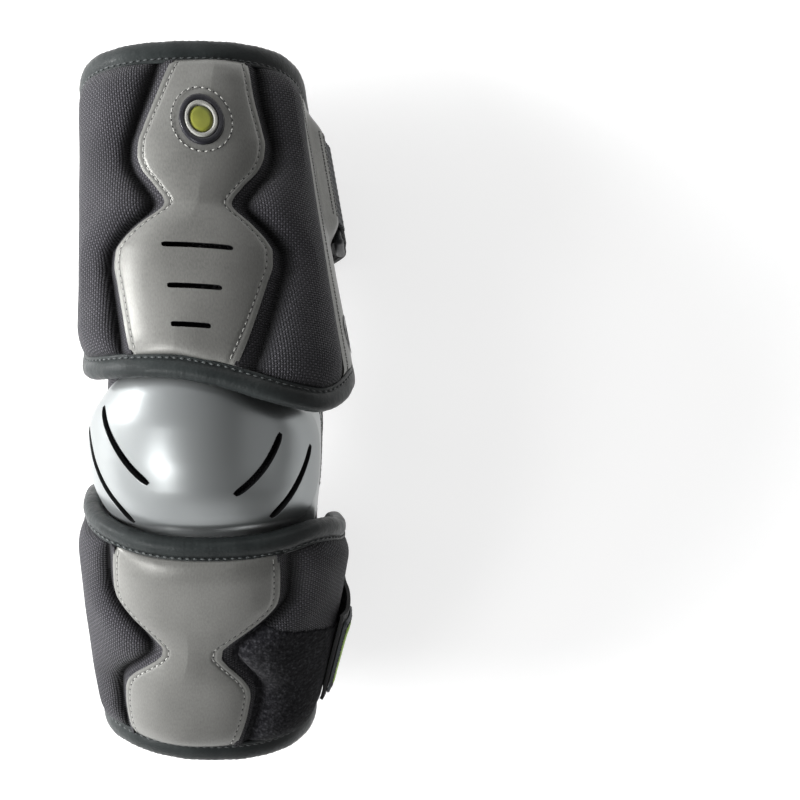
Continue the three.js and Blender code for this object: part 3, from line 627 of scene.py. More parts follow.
def addStudio():
    bpy.ops.mesh.primitive_plane_add(size=floorLook["size"], location=(0, 0, 0))
    floor = bpy.context.object
    floor.name = "floor"
    pale = newFinish("paleFloor", floorLook["color"], 0.9, specular=0.1)
    shaderInput(pale, "Emission Color").default_value = (1, 1, 1, 1)
    shaderInput(pale, "Emission Strength").default_value = floorLook["glow"]
    floor.data.materials.append(pale)
    for name, spec in lights.items():
        bpy.ops.object.light_add(type="AREA", location=spec["place"])
        lamp = bpy.context.object
        lamp.name = name
        lamp.data.shape = "RECTANGLE"
        lamp.data.size, lamp.data.size_y = spec["size"]
        lamp.data.energy = spec["power"]
        lamp.visible_glossy = spec.get("glossy", True)
        lamp.visible_diffuse = spec.get("diffuse", True)
        lamp.rotation_euler = (lightAim - Vector(spec["place"])).to_track_quat("-Z", "Y").to_euler()
    world = bpy.data.worlds.new("studio")
    world.use_nodes = True
    background = world.node_tree.nodes["Background"]
    background.inputs[0].default_value = (1, 1, 1, 1)
    rightward, _, upward = addNode("ShaderNodeSeparateXYZ", {0: texCoords(world, "Generated")}).outputs
    byHeight = ramp(upward, *worldLight["rise"], *worldLight["riseLight"])
    bySide = ramp(rightward, *worldLight["side"], *worldLight["sideLight"])
    world.node_tree.links.new(times(byHeight, bySide), background.inputs[1])
    bpy.context.scene.world = world
    bpy.context.scene.view_settings.view_transform = "Standard"


addCamera()
addStudio()
print("camera and studio")


# Stitches: one small thread, modelled once and repeated along a line of points
def threadShape():
    bpy.ops.mesh.primitive_uv_sphere_add(segments=6, ring_count=4, radius=1)
    obj = bpy.context.object
    points = np.array([v.co for v in obj.data.vertices])
    faces = [list(p.vertices) for p in obj.data.polygons]
    bpy.data.objects.remove(obj)
    return points, faces


threadPoints, threadFaces = threadShape()


def placeThreads(middle, tangent, normal, size):
    axes = np.stack([tangent, np.cross(normal, tangent), normal], 1)
    return (middle[:, None] + threadPoints * np.array(size) / 2 @ axes).reshape(-1, 3)


def stitchRow(points, normals, pitch, size, offset=0.0):
    lengths = lineLengths(points)
    count = max(int(lengths[-1] / pitch), 1)
    at = (np.arange(count) + 0.5) * lengths[-1] / count + offset * pitch
    tangent = pickAlong(lengths, points, at + 0.5) - pickAlong(lengths, points, at - 0.5)
    normal = unit(pickAlong(lengths, normals, at))
    return placeThreads(pickAlong(lengths, points, at), unit(tangent), normal, size)


def sew(name, rows, finish, slot):
    points = np.concatenate(rows)
    count = len(points) // len(threadPoints)
    faces = [[i + n * len(threadPoints) for i in face] for n in range(count) for face in threadFaces]
    mesh = bpy.data.meshes.new(pieceName(name))
    mesh.from_pydata(((points + shift) * mm).tolist(), [], faces)
    obj = bpy.data.objects.new(pieceName(name), mesh)
    bpy.context.scene.collection.objects.link(obj)
    smoothShade(obj, 180)
    dress(obj, finish, slot)


# Guard walls
wall = {
    "grid": (100, 50), "thickness": 4.5, "look": ("spacerMesh", "padding_mesh"), "fill": 0.7, "smooth": 40,
}


def addWall(name, guard):
    reach = guard["edges"]["turn"][-1]

    def place(u, v):
        turn = (2 * u - 1) * reach
        along = alongGuard(guard, turn, fromElbow(guard, v))
        return guardPoint(guard, turn, along, 0), (turn * degreeLength, along)

    layPiece(name, wall, place)


addWall("upper_base", upperGuard)
addWall("lower_base", lowerGuard)
print("guard walls")

# Pads on the guards: their rim goes down to the foot in a few rows of faces
padFit = {"margin": 0.01, "cheekLap": 1, "ribGap": 2, "ribWidth": 9, "rimRows": 2, "foot": 0.1}


def padSpan(guard, kind, share):
    middle = readTable(guard["overlay"], "middle", share)
    half = readTable(guard["overlay"], "half", share)
    left = -readTable(guard["seams"], "left", share)
    right = readTable(guard["seams"], "right", share)
    ribLeft, ribRight = left - padFit["ribGap"], right + padFit["ribGap"]
    spans = {
        "overlay": (middle - half, middle + half),
        "cheekLeft": (left, middle - half + padFit["cheekLap"]),
        "cheekRight": (middle + half - padFit["cheekLap"], right),
        "ribLeft": (ribLeft - padFit["ribWidth"], ribLeft),
        "ribRight": (ribRight, ribRight + padFit["ribWidth"]),
        "wingLeft": (0 * left - guard["reach"], left - guard["wingStart"]),
        "wingRight": (right + guard["wingStart"], 0 * right + guard["reach"]),
    }
    return spans[kind]


def padShare(y):
    return padFit["margin"] + (1 - 2 * padFit["margin"]) * y


# How high a pad stands, and how much shade is painted along its crease, seams and ends, from the distances to
# its seams and ends
def endFall(spec, end, curve):
    return blend(spec["endLow"], 1, curve((end - spec["endGap"]) / spec["endRun"]))


def overlayHeight(spec, seam, end, soft):
    groove = spec["groove"] * bell((seam - spec["lipWidth"]) / spec["grooveWidth"])
    full = 1 - (1 - np.clip(seam / spec["rise"], 0, 1)) ** 2
    height = blend(spec["lip"], spec["crown"], full) - groove + spec["wave"] * full * soft
    return height * endFall(spec, end, pillow), 0 * seam


def cheekHeight(spec, seam, end, soft):
    inner, outer = seam
    past = inner - spec["crease"]
    ledge = spec["ledge"] * ease(-past / spec["crease"])
    full = pillow(np.minimum(outer, past) / spec["rise"]) * endFall(spec, end, pillow)
    height = blend(spec["lip"], spec["crown"], full) + ledge + spec["wave"] * full * soft
    # Painted shade: darker in the crease, along the outer seam and at the ends, where shade falls
    places = (past, outer, end - spec["endGap"])
    paintedShade = sum(depth * bell(away / run) for away, (depth, run) in zip(places, spec["paintedShades"]))
    return height, np.clip(paintedShade, 0, 1)


def ribHeight(spec, seam, end, soft):
    full = pillow(seam / spec["rise"]) * endFall(spec, end, pillow)
    # Painted shade along the rib's seams, where shade falls
    depth, run = spec["shade"]
    return blend(spec["lip"], spec["crown"], full), depth * bell(seam / run)


def wingHeight(spec, seam, end, soft):
    wave = spec["wave"] * ease(seam / spec["waveRun"]) * soft
    return spec["crown"] * endFall(spec, end, ease) + wave, 0 * seam


silver = ("silverLeather", "silver_leather")
woven = ("wovenNylon", "woven_nylon")
pile = ("loopPile", "loop_pile")
overlayForm = {
    "height": overlayHeight, "grid": (90, 190), "look": silver, "fill": 0.6, "lipWidth": 2.7, "rise": 24,
    "groove": 0.4, "grooveWidth": 0.7, "wave": 0.2, "endLow": 0.35, "endGap": 1, "endRun": 12,
}
cheekForm = {
    "height": cheekHeight, "grid": (84, 150), "look": woven, "fill": 0.75, "lip": 0.6, "rise": 20,
    "crease": 7.6, "ledge": 3.2, "wave": 0.35, "endLow": 0.05, "endGap": 1.5, "endRun": 14,
    # Painted shade at the crease, along the outer seam and at the ends: depth and run of each
    "paintedShades": ((0.9, 3), (0.7, 1.3), (0.5, 1.6)),
}
# Ribs darken along their seams with painted shade (shade: depth and run)
ribForm = {
    "height": ribHeight, "grid": (16, 100), "look": woven, "fill": 0.7, "lip": 0.6, "rise": 4.5,
    "endLow": 0.05, "endGap": 1.5, "endRun": 10, "shade": (0.8, 1.2),
}
wingForm = {
    "height": wingHeight, "grid": (50, 110), "look": silver, "fill": 0.2, "wave": 0.15, "waveRun": 6,
    "endLow": 0.5, "endGap": 1.5, "endRun": 4,
}


def padSpec(form, guard, kind, crown, seed, **more):
    shape = {"guard": guard, "kind": kind, "crown": crown, "seed": seed}
    return {"thickness": 0.9, "smooth": 50, **form, **shape, **more}


pads = {
    "upper_overlay": padSpec(overlayForm, upperGuard, "overlay", 8.2, 1.3, lip=5),
    "upper_cheek_left": padSpec(cheekForm, upperGuard, "cheekLeft", 9.2, 2.1),
    "upper_cheek_right": padSpec(cheekForm, upperGuard, "cheekRight", 9.2, 2.9),
    "upper_wing_left": padSpec(wingForm, upperGuard, "wingLeft", 2.8, 3.3),
    "upper_wing_right": padSpec(wingForm, upperGuard, "wingRight", 2.8, 4.7),
    "lower_overlay": padSpec(overlayForm, lowerGuard, "overlay", 7.2, 5.1, lip=4.4),
    "lower_cheek_left": padSpec(cheekForm, lowerGuard, "cheekLeft", 7.8, 6.1),
    "lower_cheek_right": padSpec(cheekForm, lowerGuard, "cheekRight", 7.8, 6.9),
    "lower_rib_left": padSpec(ribForm, lowerGuard, "ribLeft", 4.8, 7.3),
    "lower_rib_right": padSpec(ribForm, lowerGuard, "ribRight", 4.8, 8.1),
    "lower_wing_left": padSpec(wingForm, lowerGuard, "wingLeft", 2.4, 8.7, look=woven),
    "lower_loop_rear": padSpec(wingForm, lowerGuard, "wingRight", 2.4, 9.3, look=pile),
}


def padFace(spec, x, share):
    guard = spec["guard"]
    left, right = padSpan(guard, spec["kind"], share)
    turn = blend(left, right, x)
    along = alongGuard(guard, turn, share)
    fromLeft, fromRight = x * (right - left) * degreeLength, (1 - x) * (right - left) * degreeLength
    seam = np.minimum(fromLeft, fromRight)
    if spec["kind"].startswith("cheek"):
        seam = (fromRight, fromLeft) if spec["kind"] == "cheekLeft" else (fromLeft, fromRight)
    length = alongGuard(guard, turn, 1) - alongGuard(guard, turn, 0)
    end = np.minimum(share, 1 - share) * length
    if "wing" in spec["kind"]:
        end = np.minimum(end, (guard["reach"] - np.abs(turn)) * degreeLength)
    return turn, along, *spec["height"](spec, seam, end, ripple(along, turn, spec["seed"]))


# A place midway between the upper overlay's edges, moved out to the side and along the guard
def overlayPlace(share, out, move, height):
    along = alongGuard(upperGuard, 0, share)
    edges = guardPoint(upperGuard, np.array(padSpan(upperGuard, "overlay", share)), along, 0)[:, 0]
    out = out + edges.mean() - upperGuard["ridge"][0] - upperGuard["lean"] * along
    halfWidth = readTable(upperGuard["sections"], "halfWidth", along)
    turn = np.sign(out) * np.degrees(np.arcsin((np.abs(out) / halfWidth) ** (1 / guardFullness)))
    return guardPoint(upperGuard, turn, along + move, height)


# Slots: across(u, v) is a slot's face, with ends that round off by a power down to a least share of its width
def slotOffset(spec, u, v):
    power, least = spec["ends"]
    return (v - 0.5) * spec["width"] * np.sqrt(np.maximum(1 - np.abs(2 * u - 1) ** power, least))


def addCutter(spec, across):
    obj = layGrid("slot_cutter", *spec["grid"], lambda u, v: (across(u, v), (u, v)))
    modify(obj, "SOLIDIFY", thickness=spec["depth"] * mm, offset=0)
    editAll(obj, faceOut)
    # The walls this cutter makes take the painted shade
    obj.data.materials.append(finishes["paintedSlotShade"])
    return obj


def cutAway(obj, cutters):
    cut = {"operation": "DIFFERENCE", "solver": "EXACT", "material_mode": "TRANSFER"}
    for cutter in cutters:
        modify(obj, "BOOLEAN", object=cutter, **cut)
        bpy.data.objects.remove(cutter)


overlaySlots = {
    "width": 2.5, "ends": (24, 0.2), "grid": (40, 4), "depth": 18, "height": 7, "tilt": math.radians(5),
    "aside": 2, "rows": [(0.349, 29.6), (0.217, 22.8), (0.102, 16.5)],
}


def overlayCutter(share, length):
    def across(u, v):
        out = (u - 0.5) * length
        move = slotOffset(overlaySlots, u, v) - out * math.tan(overlaySlots["tilt"])
        return overlayPlace(share, out + overlaySlots["aside"], move, overlaySlots["height"])

    return addCutter(overlaySlots, across)


def cutOverlay(obj):
    cutAway(obj, [overlayCutter(*row) for row in overlaySlots["rows"]])


def addPad(name, spec):
    guard, (columns, rows) = spec["guard"], spec["grid"]
    rim, foot = padFit["rimRows"], padFit["foot"]

    def place(u, v):
        column, row = u * columns, fromElbow(guard, v) * rows
        edge = np.minimum.reduce([column, columns - column, row, rows - row]) / rim
        x = np.clip((column - rim) / (columns - 2 * rim), 0, 1)
        y = np.clip((row - rim) / (rows - 2 * rim), 0, 1)
        turn, along, height, paintedShade = padFace(spec, x, padShare(y))
        points = guardPoint(guard, turn, along, blend(foot, height, pillow(edge)))
        return points, (turn * degreeLength, along), paintedShade

    layPiece(name, spec, place)


pads["upper_overlay"]["reshape"] = cutOverlay
for padName, padValues in pads.items():
    addPad(padName, padValues)
print("pads", len(pads))

# Rolled edges: a vinyl tape folded over the edge, with a stitched lip on the outer face. The section is
# measured out from the wall's edge and up from just under its outer face, and the elbow ends are slimmer
tape = {
    "section": [
        (-2.2, 3.0), (-1.9, 3.5), (-1.1, 3.7), (-0.2, 3.3), (0.7, 3.65), (2.3, 4.25), (4.9, 4.35), (7.4, 3.7),
        (9, 2.2), (9.5, 0), (9, -2.3), (7.4, -3.7), (4.9, -4.2), (2.3, -3.9), (0.6, -3.3), (0.4, -1),
        (0.3, 1.4), (-0.3, 2.3), (-1.2, 2.5), (-2.0, 2.6),
    ],
    "drop": 1.2, "sides": 42, "girth": 36, "step": 1.3, "rollFrom": 0.4, "pucker": (0.03, 0.012),
    "slim": 0.16, "slimTurn": 105, "slimRun": 35, "stitch": (-0.2, 3.5), "pitch": 3.4,
    "thread": (2.5, 0.85, 0.8), "softening": {"line": 6, "turns": 12, "edge": 8},
    "samples": {"end": 300, "side": 40, "elbow": 120}, "smooth": 60,
}


def closedCurve(points, count):
    points = np.array(points, float)
    at = np.arange(count) / count * len(points)
    i = at.astype(int)
    t = (at - i)[:, None]
    a, b, c, d = [points[(i + k) % len(points)] for k in (-1, 0, 1, 2)]
    return b + 0.5 * t * (c - a + t * (2 * a - 5 * b + 4 * c - d + t * (3 * (b - c) + d - a)))


tapeSection = closedCurve(tape["section"], tape["sides"])


def closeLine(values):
    return np.concatenate([values, values[:1]])


def soften(values, isLoop, rounds):
    for _ in range(rounds):
        before, after = np.roll(values, 1, axis=0), np.roll(values, -1, axis=0)
        if not isLoop:
            before[0], after[-1] = values[0], values[-1]
        values = (before + 2 * values + after) / 4
    return values


def edgeFrames(points, normals, slims, side, isLoop):
    if isLoop:
        points, normals, slims = [closeLine(values) for values in (points, normals, slims)]
    lengths = lineLengths(points)
    at = np.linspace(0, lengths[-1], int(lengths[-1] / tape["step"]) + 1)
    if isLoop:
        at = at[:-1]
    softening = tape["softening"]
    points = soften(pickAlong(lengths, points, at), isLoop, softening["line"])
    tangents = np.roll(points, -1, axis=0) - np.roll(points, 1, axis=0)
    if not isLoop:
        tangents[0], tangents[-1] = points[1] - points[0], points[-1] - points[-2]
    tangents = soften(unit(tangents), isLoop, softening["turns"])
    normals = unit(soften(pickAlong(lengths, normals, at), isLoop, softening["turns"]))
    edge = soften(points - normals * tape["drop"], isLoop, softening["edge"])
    return edge, unit(side * np.cross(tangents, normals)), normals, np.interp(at, lengths, slims), at


def addTape(name, line, side, isLoop=True):
    edge, out, normals, slims, at = edgeFrames(*line, side, isLoop)
    count, sides, rollFrom = len(edge), tape["sides"], tape["rollFrom"]
    columns = count if isLoop else count - 1
    loose, tight = tape["pucker"]
    pucker = 1 + loose * ripple(at * 2.1, at * 0.9, 3.7) + tight * np.sin(at * 2 * math.pi / tape["pitch"])

    def place(u, v):
        i = np.rint(u * columns).astype(int) % count
        across, up = tapeSection[np.rint(v * sides).astype(int) % sides].T
        isRoll = across > rollFrom
        swell = np.where(isRoll, pucker[i], 1)
        rolled = rollFrom + (across - rollFrom) * (1 - tape["slim"] * slims[i]) * swell
        across = np.where(isRoll, rolled, across)
        points = edge[i] + out[i] * across[:, None] + normals[i] * (up * swell)[:, None]
        return points, (at[i], v * tape["girth"])

    obj = layGrid(name, columns, sides, place)
    editAll(obj, mergeDoubles, *([] if isLoop else [closeEnds]), faceOut)
    smoothShade(obj, tape["smooth"])
    dress(obj, "edgeVinyl", "edge_vinyl", [name])
    across, up = tape["stitch"]
    seam = edge + out * across + normals * up
    if isLoop:
        seam, normals = closeLine(seam), closeLine(normals)
    row = stitchRow(seam, normals, tape["pitch"], tape["thread"])
    sew(name + "_stitches", [row], "darkThread", "edge_vinyl")


def guardEdge(guard):
    reach = guard["edges"]["turn"][-1]
    turns = np.linspace(-reach, reach, tape["samples"]["end"])
    rise = np.linspace(0, 1, tape["samples"]["side"])[1:-1]
    turn = np.concatenate([turns, 0 * rise + reach, turns[::-1], 0 * rise - reach])
    share = np.concatenate([0 * turns, rise, 0 * turns + 1, rise[::-1]])
    along = alongGuard(guard, turn, share)
    slims = (share < 0.5) * ease((tape["slimTurn"] - np.abs(turn)) / tape["slimRun"])
    return *raised(lambda height: guardPoint(guard, turn, along, height)), slims


def linerEdge(side):
    y = np.linspace(*linerSpan, tape["samples"]["elbow"])
    turn = side * readTable(linerReach, "turn", y)
    return *raised(lambda height: elbowPoint(turn, y, height)), 0 * y


addTape("upper_binding", guardEdge(upperGuard), 1)
addTape("lower_binding", guardEdge(lowerGuard), -1)
addTape("elbow_binding_left", linerEdge(-1), -1, isLoop=False)
addTape("elbow_binding_right", linerEdge(1), 1, isLoop=False)
print("rolled edges")

# Elbow: liner, cap with its slots, stretch sleeve
liner = {
    "span": linerSpan, "reach": linerReach, "thickness": 4, "grid": (120, 60), "look": woven, "fill": 0.6,
    "smooth": 40,
}
cap = {
    "span": capSpan, "reach": capReach, "look": ("capShell", "cap_shell"), "smooth": 35,
    "seat": 0.8, "step": 2.2, "thickness": 2.6, "grid": (160, 110), "domeTurn": 78, "domeBottom": -51,
    "corner": 20, "stepRun": 4, "crownRun": 15, "crownDrop": 7, "crownLap": 4, "bevel": 0.5,
    "bulge": {"height": 3.4, "turn": -78, "turnRun": 38, "y": -22, "yRun": 24},
}
# The dome's upper edge, higher on the left because the cap sits turned a little
domeTop = {
    "turn": [-118, -90, -75, -65, -45, -30, -16, 0, 16, 40, 60, 80, 118],
    "y": [-10, -12, 0, 6, 14, 18, 20, 17, 12, 3, -4, -8, -4],
}
capSlots = {
    "width": 3.6, "ends": (14, 0.3), "grid": (28, 4), "depth": 14, "height": 4, "bow": 2.5,
    "lines": [
        ((42, -10), (16, -36)), ((65, -18), (36, -48.5)), ((-60, 1), (-28.5, -31)), ((-76, -10), (-42, -51)),
    ],
}


def addElbowLayer(name, spec, heightAt):
    def place(u, v):
        y = blend(*spec["span"], v)
        turn = (2 * u - 1) * readTable(spec["reach"], "turn", y)
        return elbowPoint(turn, y, heightAt(turn, y)), (turn * elbowDegreeLength, y)

    layPiece(name, spec, place)


def capHeight(turn, y):
    corner, bulge = cap["corner"], cap["bulge"]
    outX = (np.abs(turn) - cap["domeTurn"]) * elbowDegreeLength + corner
    outY = cap["domeBottom"] + corner - y
    away = np.hypot(np.maximum(outX, 0), np.maximum(outY, 0)) - corner
    height = cap["seat"] + cap["thickness"] + cap["step"] * (1 - ease(away / cap["stepRun"]))
    aside = bell((turn - bulge["turn"]) / bulge["turnRun"])
    height = height + bulge["height"] * aside * bell(((y - bulge["y"]) / bulge["yRun"]) ** 2)
    under = readTable(domeTop, "y", turn) - y
    return height - cap["crownDrop"] * (1 - pillow((under + cap["crownLap"]) / cap["crownRun"]))


def slotCutter(start, end):
    (fromTurn, fromY), (toTurn, toY) = start, end
    lineX, lineY = (toTurn - fromTurn) * elbowDegreeLength, toY - fromY
    square = np.array([-lineY, lineX]) / math.hypot(lineX, lineY)
    if square[1] > 0:
        square = -square

    def across(u, v):
        offset = 4 * u * (1 - u) * capSlots["bow"] + slotOffset(capSlots, u, v)
        turn = blend(fromTurn, toTurn, u) + square[0] * offset / elbowDegreeLength
        return elbowPoint(turn, blend(fromY, toY, u) + square[1] * offset, capSlots["height"])

    return addCutter(capSlots, across)


def cutCap(obj):
    cutAway(obj, [slotCutter(*line) for line in capSlots["lines"]])
    sharp = {"limit_method": "ANGLE", "angle_limit": math.radians(50)}
    modify(obj, "BEVEL", width=cap["bevel"] * mm, segments=2, **sharp)


sleeve = {
    "ring": [0, 1, 2, 3, 4, 5], "halfWidth": [38.5, 40.4, 41, 40, 37.5, 35],
    "frontY": [34, 8, -20, -46, -76, -106], "frontZ": [116, 134.5, 138.6, 131, 103, 90],
    "backY": [-6, -16, -28, -44, -60, -80], "backZ": [20, 22, 23, 20, 13, 7],
    "grid": (100, 72), "thickness": 1.6, "fold": 0.5, "folds": 60, "foldStart": 0.3, "squareness": 0.8,
    "girth": 250, "length": 140, "look": ("stretchKnit", "stretch_knit"), "edit": closedRound, "smooth": 60,
    "held": "stretched", "restsOn": ["elbow_liner"],
}


def sleevePlace(u, v):
    ring = v * sleeve["ring"][-1]
    keys = ("frontY", "frontZ", "backY", "backZ", "halfWidth")
    frontY, frontZ, backY, backZ, halfWidth = [readTable(sleeve, key, ring) for key in keys]
    front, back = np.stack([frontY, frontZ], -1), np.stack([backY, backZ], -1)
    sine, cosine = np.sin(2 * math.pi * u), np.cos(2 * math.pi * u)
    fold = sleeve["fold"] * np.sin(v * sleeve["folds"] + 2 * sine)
    fold = fold * np.clip(sleeve["foldStart"] - cosine, 0, 1)
    reach = np.linalg.norm(front - back, axis=1) / 2 + fold
    out = (halfWidth + fold) * np.sign(sine) * np.abs(sine) ** sleeve["squareness"]
    y, z = ((front + back) / 2 + unit(front - back) * (reach * cosine)[:, None]).T
    return np.stack([elbowX + out, y, z], -1), (u * sleeve["girth"], v * sleeve["length"])


cap["reshape"] = cutCap
addElbowLayer("elbow_liner", liner, lambda turn, y: 0 * turn)
addElbowLayer("elbow_cap", cap, capHeight)
layPiece("inner_sleeve", sleeve, sleevePlace)
print("elbow")

# Straps: strips through rows that each have a point on both edges
strapThickness = 1.6
slider = {
    "along": 102, "height": 7.1, "bars": (106, 113, 120), "barRadius": 1.7, "barGap": 0.4, "halfLength": 27.5,
    "plate": 4, "overhang": 3, "thickness": 4.4, "bevel": 1.9, "smooth": 40,
}
wrap = slider["barRadius"] + slider["barGap"] + strapThickness / 2


# Places of turn, height, move along the guard and, for some, how much lower the edge far from the elbow lies
def guardRows(guard, along, width, places):
    edges = [], []
    for turn, height, move, *dip in places:
        for edge, side in zip(edges, (-1, 1)):
            away = guard["heading"] * side
            drop = sum(dip) if away > 0 else 0
            edge.append(guardPoint(guard, turn, along + move + away * width / 2, height - drop))
    return np.array(edges)


# Places under the guard: out from its middle, y, z and share of the guard's slope
def underRows(guard, along, width, places):
    edges = [], []
    for out, y, z, tilt in places:
        slope = guard["heading"] * tilt * guardSlope
        half = np.array([0, math.cos(slope), -math.sin(slope)]) * width / 2
        middle = np.array([guard["ridge"][0] + guard["lean"] * along + out, y, z])
        for edge, side in zip(edges, (-1, 1)):
            edge.append(middle + side * half)
    return np.array(edges)


def strapRows(spec):
    line = (spec["guard"], spec["along"], spec["width"])
    parts = [guardRows(*line, spec["front"]), underRows(*line, spec["under"]), guardRows(*line, spec["back"])]
    return np.concatenate(parts, axis=1)


def roundBar(turn, fromDegrees, toDegrees, steps=7):
    angles = np.radians(np.linspace(fromDegrees, toDegrees, steps))
    return [(turn + wrap * math.cos(a), slider["height"] + wrap * math.sin(a), 0) for a in angles]


def splinePoint(points, share):
    at = np.clip(share, 0, 1) * (len(points) - 1)
    i = np.minimum(at.astype(int), len(points) - 2)
    w = (at - i)[:, None]
    ends = np.concatenate([[2 * points[0] - points[1]], points, [2 * points[-1] - points[-2]]])
    a, b, c, d = [ends[i + k] for k in range(4)]
    pairs = ((a, b), (b, c), (c, d))
    first, span, last = [np.linalg.norm(q - p, axis=1, keepdims=True) ** 0.5 for p, q in pairs]
    leave = span * ((b - a) / first - (c - a) / (first + span) + (c - b) / span)
    arrive = span * ((c - b) / span - (d - b) / (span + last) + (d - c) / last)
    return b + w * (leave + w * (3 * (c - b) - 2 * leave - arrive + w * (2 * (b - c) + leave + arrive)))


def stripPoint(rows, share, sideways, height):
    near, far = rows
    share, sideways, height = np.broadcast_arrays(share, sideways, height)
    start, end = splinePoint(near, share), splinePoint(far, share)
    step = 1e-4
    tangent = sum(splinePoint(edge, share + step) - splinePoint(edge, share - step) for edge in rows)
    normal = unit(np.cross(tangent, end - start))
    points = start + (end - start) * sideways[:, None] + normal * height[:, None]
    lowest = np.maximum(strapThickness / 2 - height, 0)  # lies on the floor, never under it
    points[:, 2] = np.maximum(points[:, 2], lowest)
    return points


def addStrip(name, rows, spec, samples=600):
    shares = np.linspace(0, 1, samples)
    lengths = lineLengths(stripPoint(rows, shares, 0.5, 0.0))
    width, length = spec["width"], lengths[-1]

    def place(u, v):
        share = np.interp(v * length, lengths, shares)
        height = strapThickness / 2 + spec["relief"](u * width, v * length, width)
        return stripPoint(rows, share, 1 - u, height), (u * width, v * length)

    grid = (spec["columns"], int(length / spec["step"]))
    sizes = {"grid": grid, "thickness": strapThickness, "smooth": 50, "flat": (width * mm, length * mm)}
    layPiece(name, {**spec, **sizes}, place)


def elasticRelief(across, along, width):
    wave, rate, sway, swayRate, edgeDrop, edgeRun = 0.12, 0.35, 0.4, 0.2, 0.35, 1.5
    edge = np.minimum(across, width - across)
    waves = wave * np.sin(along * rate + sway * np.sin(across * swayRate))
    return waves - edgeDrop * (1 - pillow(edge / edgeRun))


def webbingRelief(across, along, width):
    beadWidth, beadLength, depth, sunk = 3, 2.6, 0.45, 0.25
    bead = np.abs(np.sin(math.pi * across / beadWidth)) * np.abs(np.sin(math.pi * along / beadLength))
    return depth * bead - sunk


webbingLow = slider["height"] - wrap
webbing = {
    "width": 40, "columns": 90, "step": 0.45, "relief": webbingRelief,
    "look": ("basketWebbing", "nylon_webbing"), "held": "folded",
    "restsOn": ["upper_wing_right", "strap_slider"],
    "places": [
        (91, webbingLow, 0), (99, webbingLow, 0), *roundBar(slider["bars"][0], -90, 90),
        (99, slider["height"] + 1.6, 0), (91, webbingLow + strapThickness + 0.7, 0),
    ],
}
elastic = {"step": 1.2, "relief": elasticRelief, "look": ("elasticWeb", "elastic_web"), "held": "stretched"}
upperStrap = {
    **elastic, "guard": upperGuard, "along": slider["along"], "width": 44, "columns": 36,
    "restsOn": ["strap_slider", "upper_base"],
    "front": [
        (134, webbingLow + 0.6, 0), (127, webbingLow, 0), *roundBar(slider["bars"][2], 270, 90),
        (127, slider["height"] + wrap - 0.4, 0), (135, slider["height"] + 2, 0),
    ],
    "under": [
        (55, 70, 5.6, 0.4), (46, 67, 0.8, 0), (24, 67, 0.8, 0), (-12, 67, 0.8, 0), (-36, 67, 0.8, 0),
        (-42, 69, 5, 0.35),
    ],
    "back": [(-131, -7, 0), (-114, -7, 0), (-99, -6.4, 0)],
}
lowerStrap = {
    **elastic, "guard": lowerGuard, "along": 83, "width": 50, "columns": 40,
    "restsOn": ["lower_loop_front", "lower_base"],
    "front": [
        (64, 11.6, -8, 3), (70, 11.4, -7, 4), (78, 10, -6, 4), (88, 8, -4, 3), (98, 6.4, -2, 2),
        (112, 5, 0, 1), (128, 5, 0), (139, 4.8, 0),
    ],
    "under": [
        (51, -98.6, 5.8, 0.4), (43, -99, 0.8, 0), (22, -99, 0.8, 0), (-12, -99, 0.8, 0), (-33, -99, 0.8, 0),
        (-39.5, -98.8, 5.4, 0.35),
    ],
    "back": [(-138, -7, 0), (-124, -7, 0), (-110, -6.4, 0)],
}
webbingRows = guardRows(upperGuard, slider["along"], webbing["width"], webbing["places"])
lowerStrapRows = strapRows(lowerStrap)
addStrip("webbing_tab", webbingRows, webbing)
addStrip("upper_strap", strapRows(upperStrap), upperStrap)
addStrip("lower_strap", lowerStrapRows, lowerStrap)


def addSlider():
    bars, half, plate = slider["bars"], slider["halfLength"], slider["plate"]
    first, last = bars[0] - slider["overhang"], bars[2] + slider["overhang"]
    parts = []
    for end in (-1, 1):
        bpy.ops.mesh.primitive_cube_add(size=1)
        parts.append(bpy.context.object)
        size = Matrix.Diagonal((last - first, plate, slider["thickness"], 1))
        middle = Matrix.Translation(((first + last) / 2, end * (half - plate / 2), 0))
        parts[-1].data.transform(middle @ size)
        modify(parts[-1], "BEVEL", width=slider["bevel"], segments=5)
    for bar in bars:
        bpy.ops.mesh.primitive_cylinder_add(vertices=20, radius=slider["barRadius"], depth=2 * half - plate)
        parts.append(bpy.context.object)
        parts[-1].data.transform(Matrix.Translation((bar, 0, 0)) @ Matrix.Rotation(math.pi / 2, 4, "X"))
    selectOnly(*parts[::-1])
    bpy.ops.object.join()
    obj = bpy.context.object
    obj.name = obj.data.name = "strapSlider"
    # Drawn flat in mm, then laid on the guard
    x, y, z = getPoints(obj.data)
    setPoints(obj.data, guardPoint(upperGuard, x, slider["along"] + y, slider["height"] + z))
    editAll(obj, faceOut)
    smoothShade(obj, slider["smooth"])
    dress(obj, "sliderPlastic", "slider_plastic", ["strap_slider"])


# The right wing's facing swells up over the end of the webbing, as a lip that the webbing comes out from
wingLip = {
    "from": 79, "full": 90.3, "edge": 92.8, "foot": 2.5, "top": 8.5, "halfLength": 34, "endRun": 14,
    "thickness": 0.9, "grid": (32, 72), "look": silver, "nodes": [], "smooth": 50, "held": "laid",
    "restsOn": ["upper_wing_right"],
}


def lipPoint(turn, along, lift):
    rise = ease((turn - wingLip["from"]) / (wingLip["full"] - wingLip["from"]))
    side = ease((wingLip["halfLength"] - np.abs(along - slider["along"])) / wingLip["endRun"])
    return guardPoint(upperGuard, turn, along, blend(wingLip["foot"], wingLip["top"], rise * side) + lift)


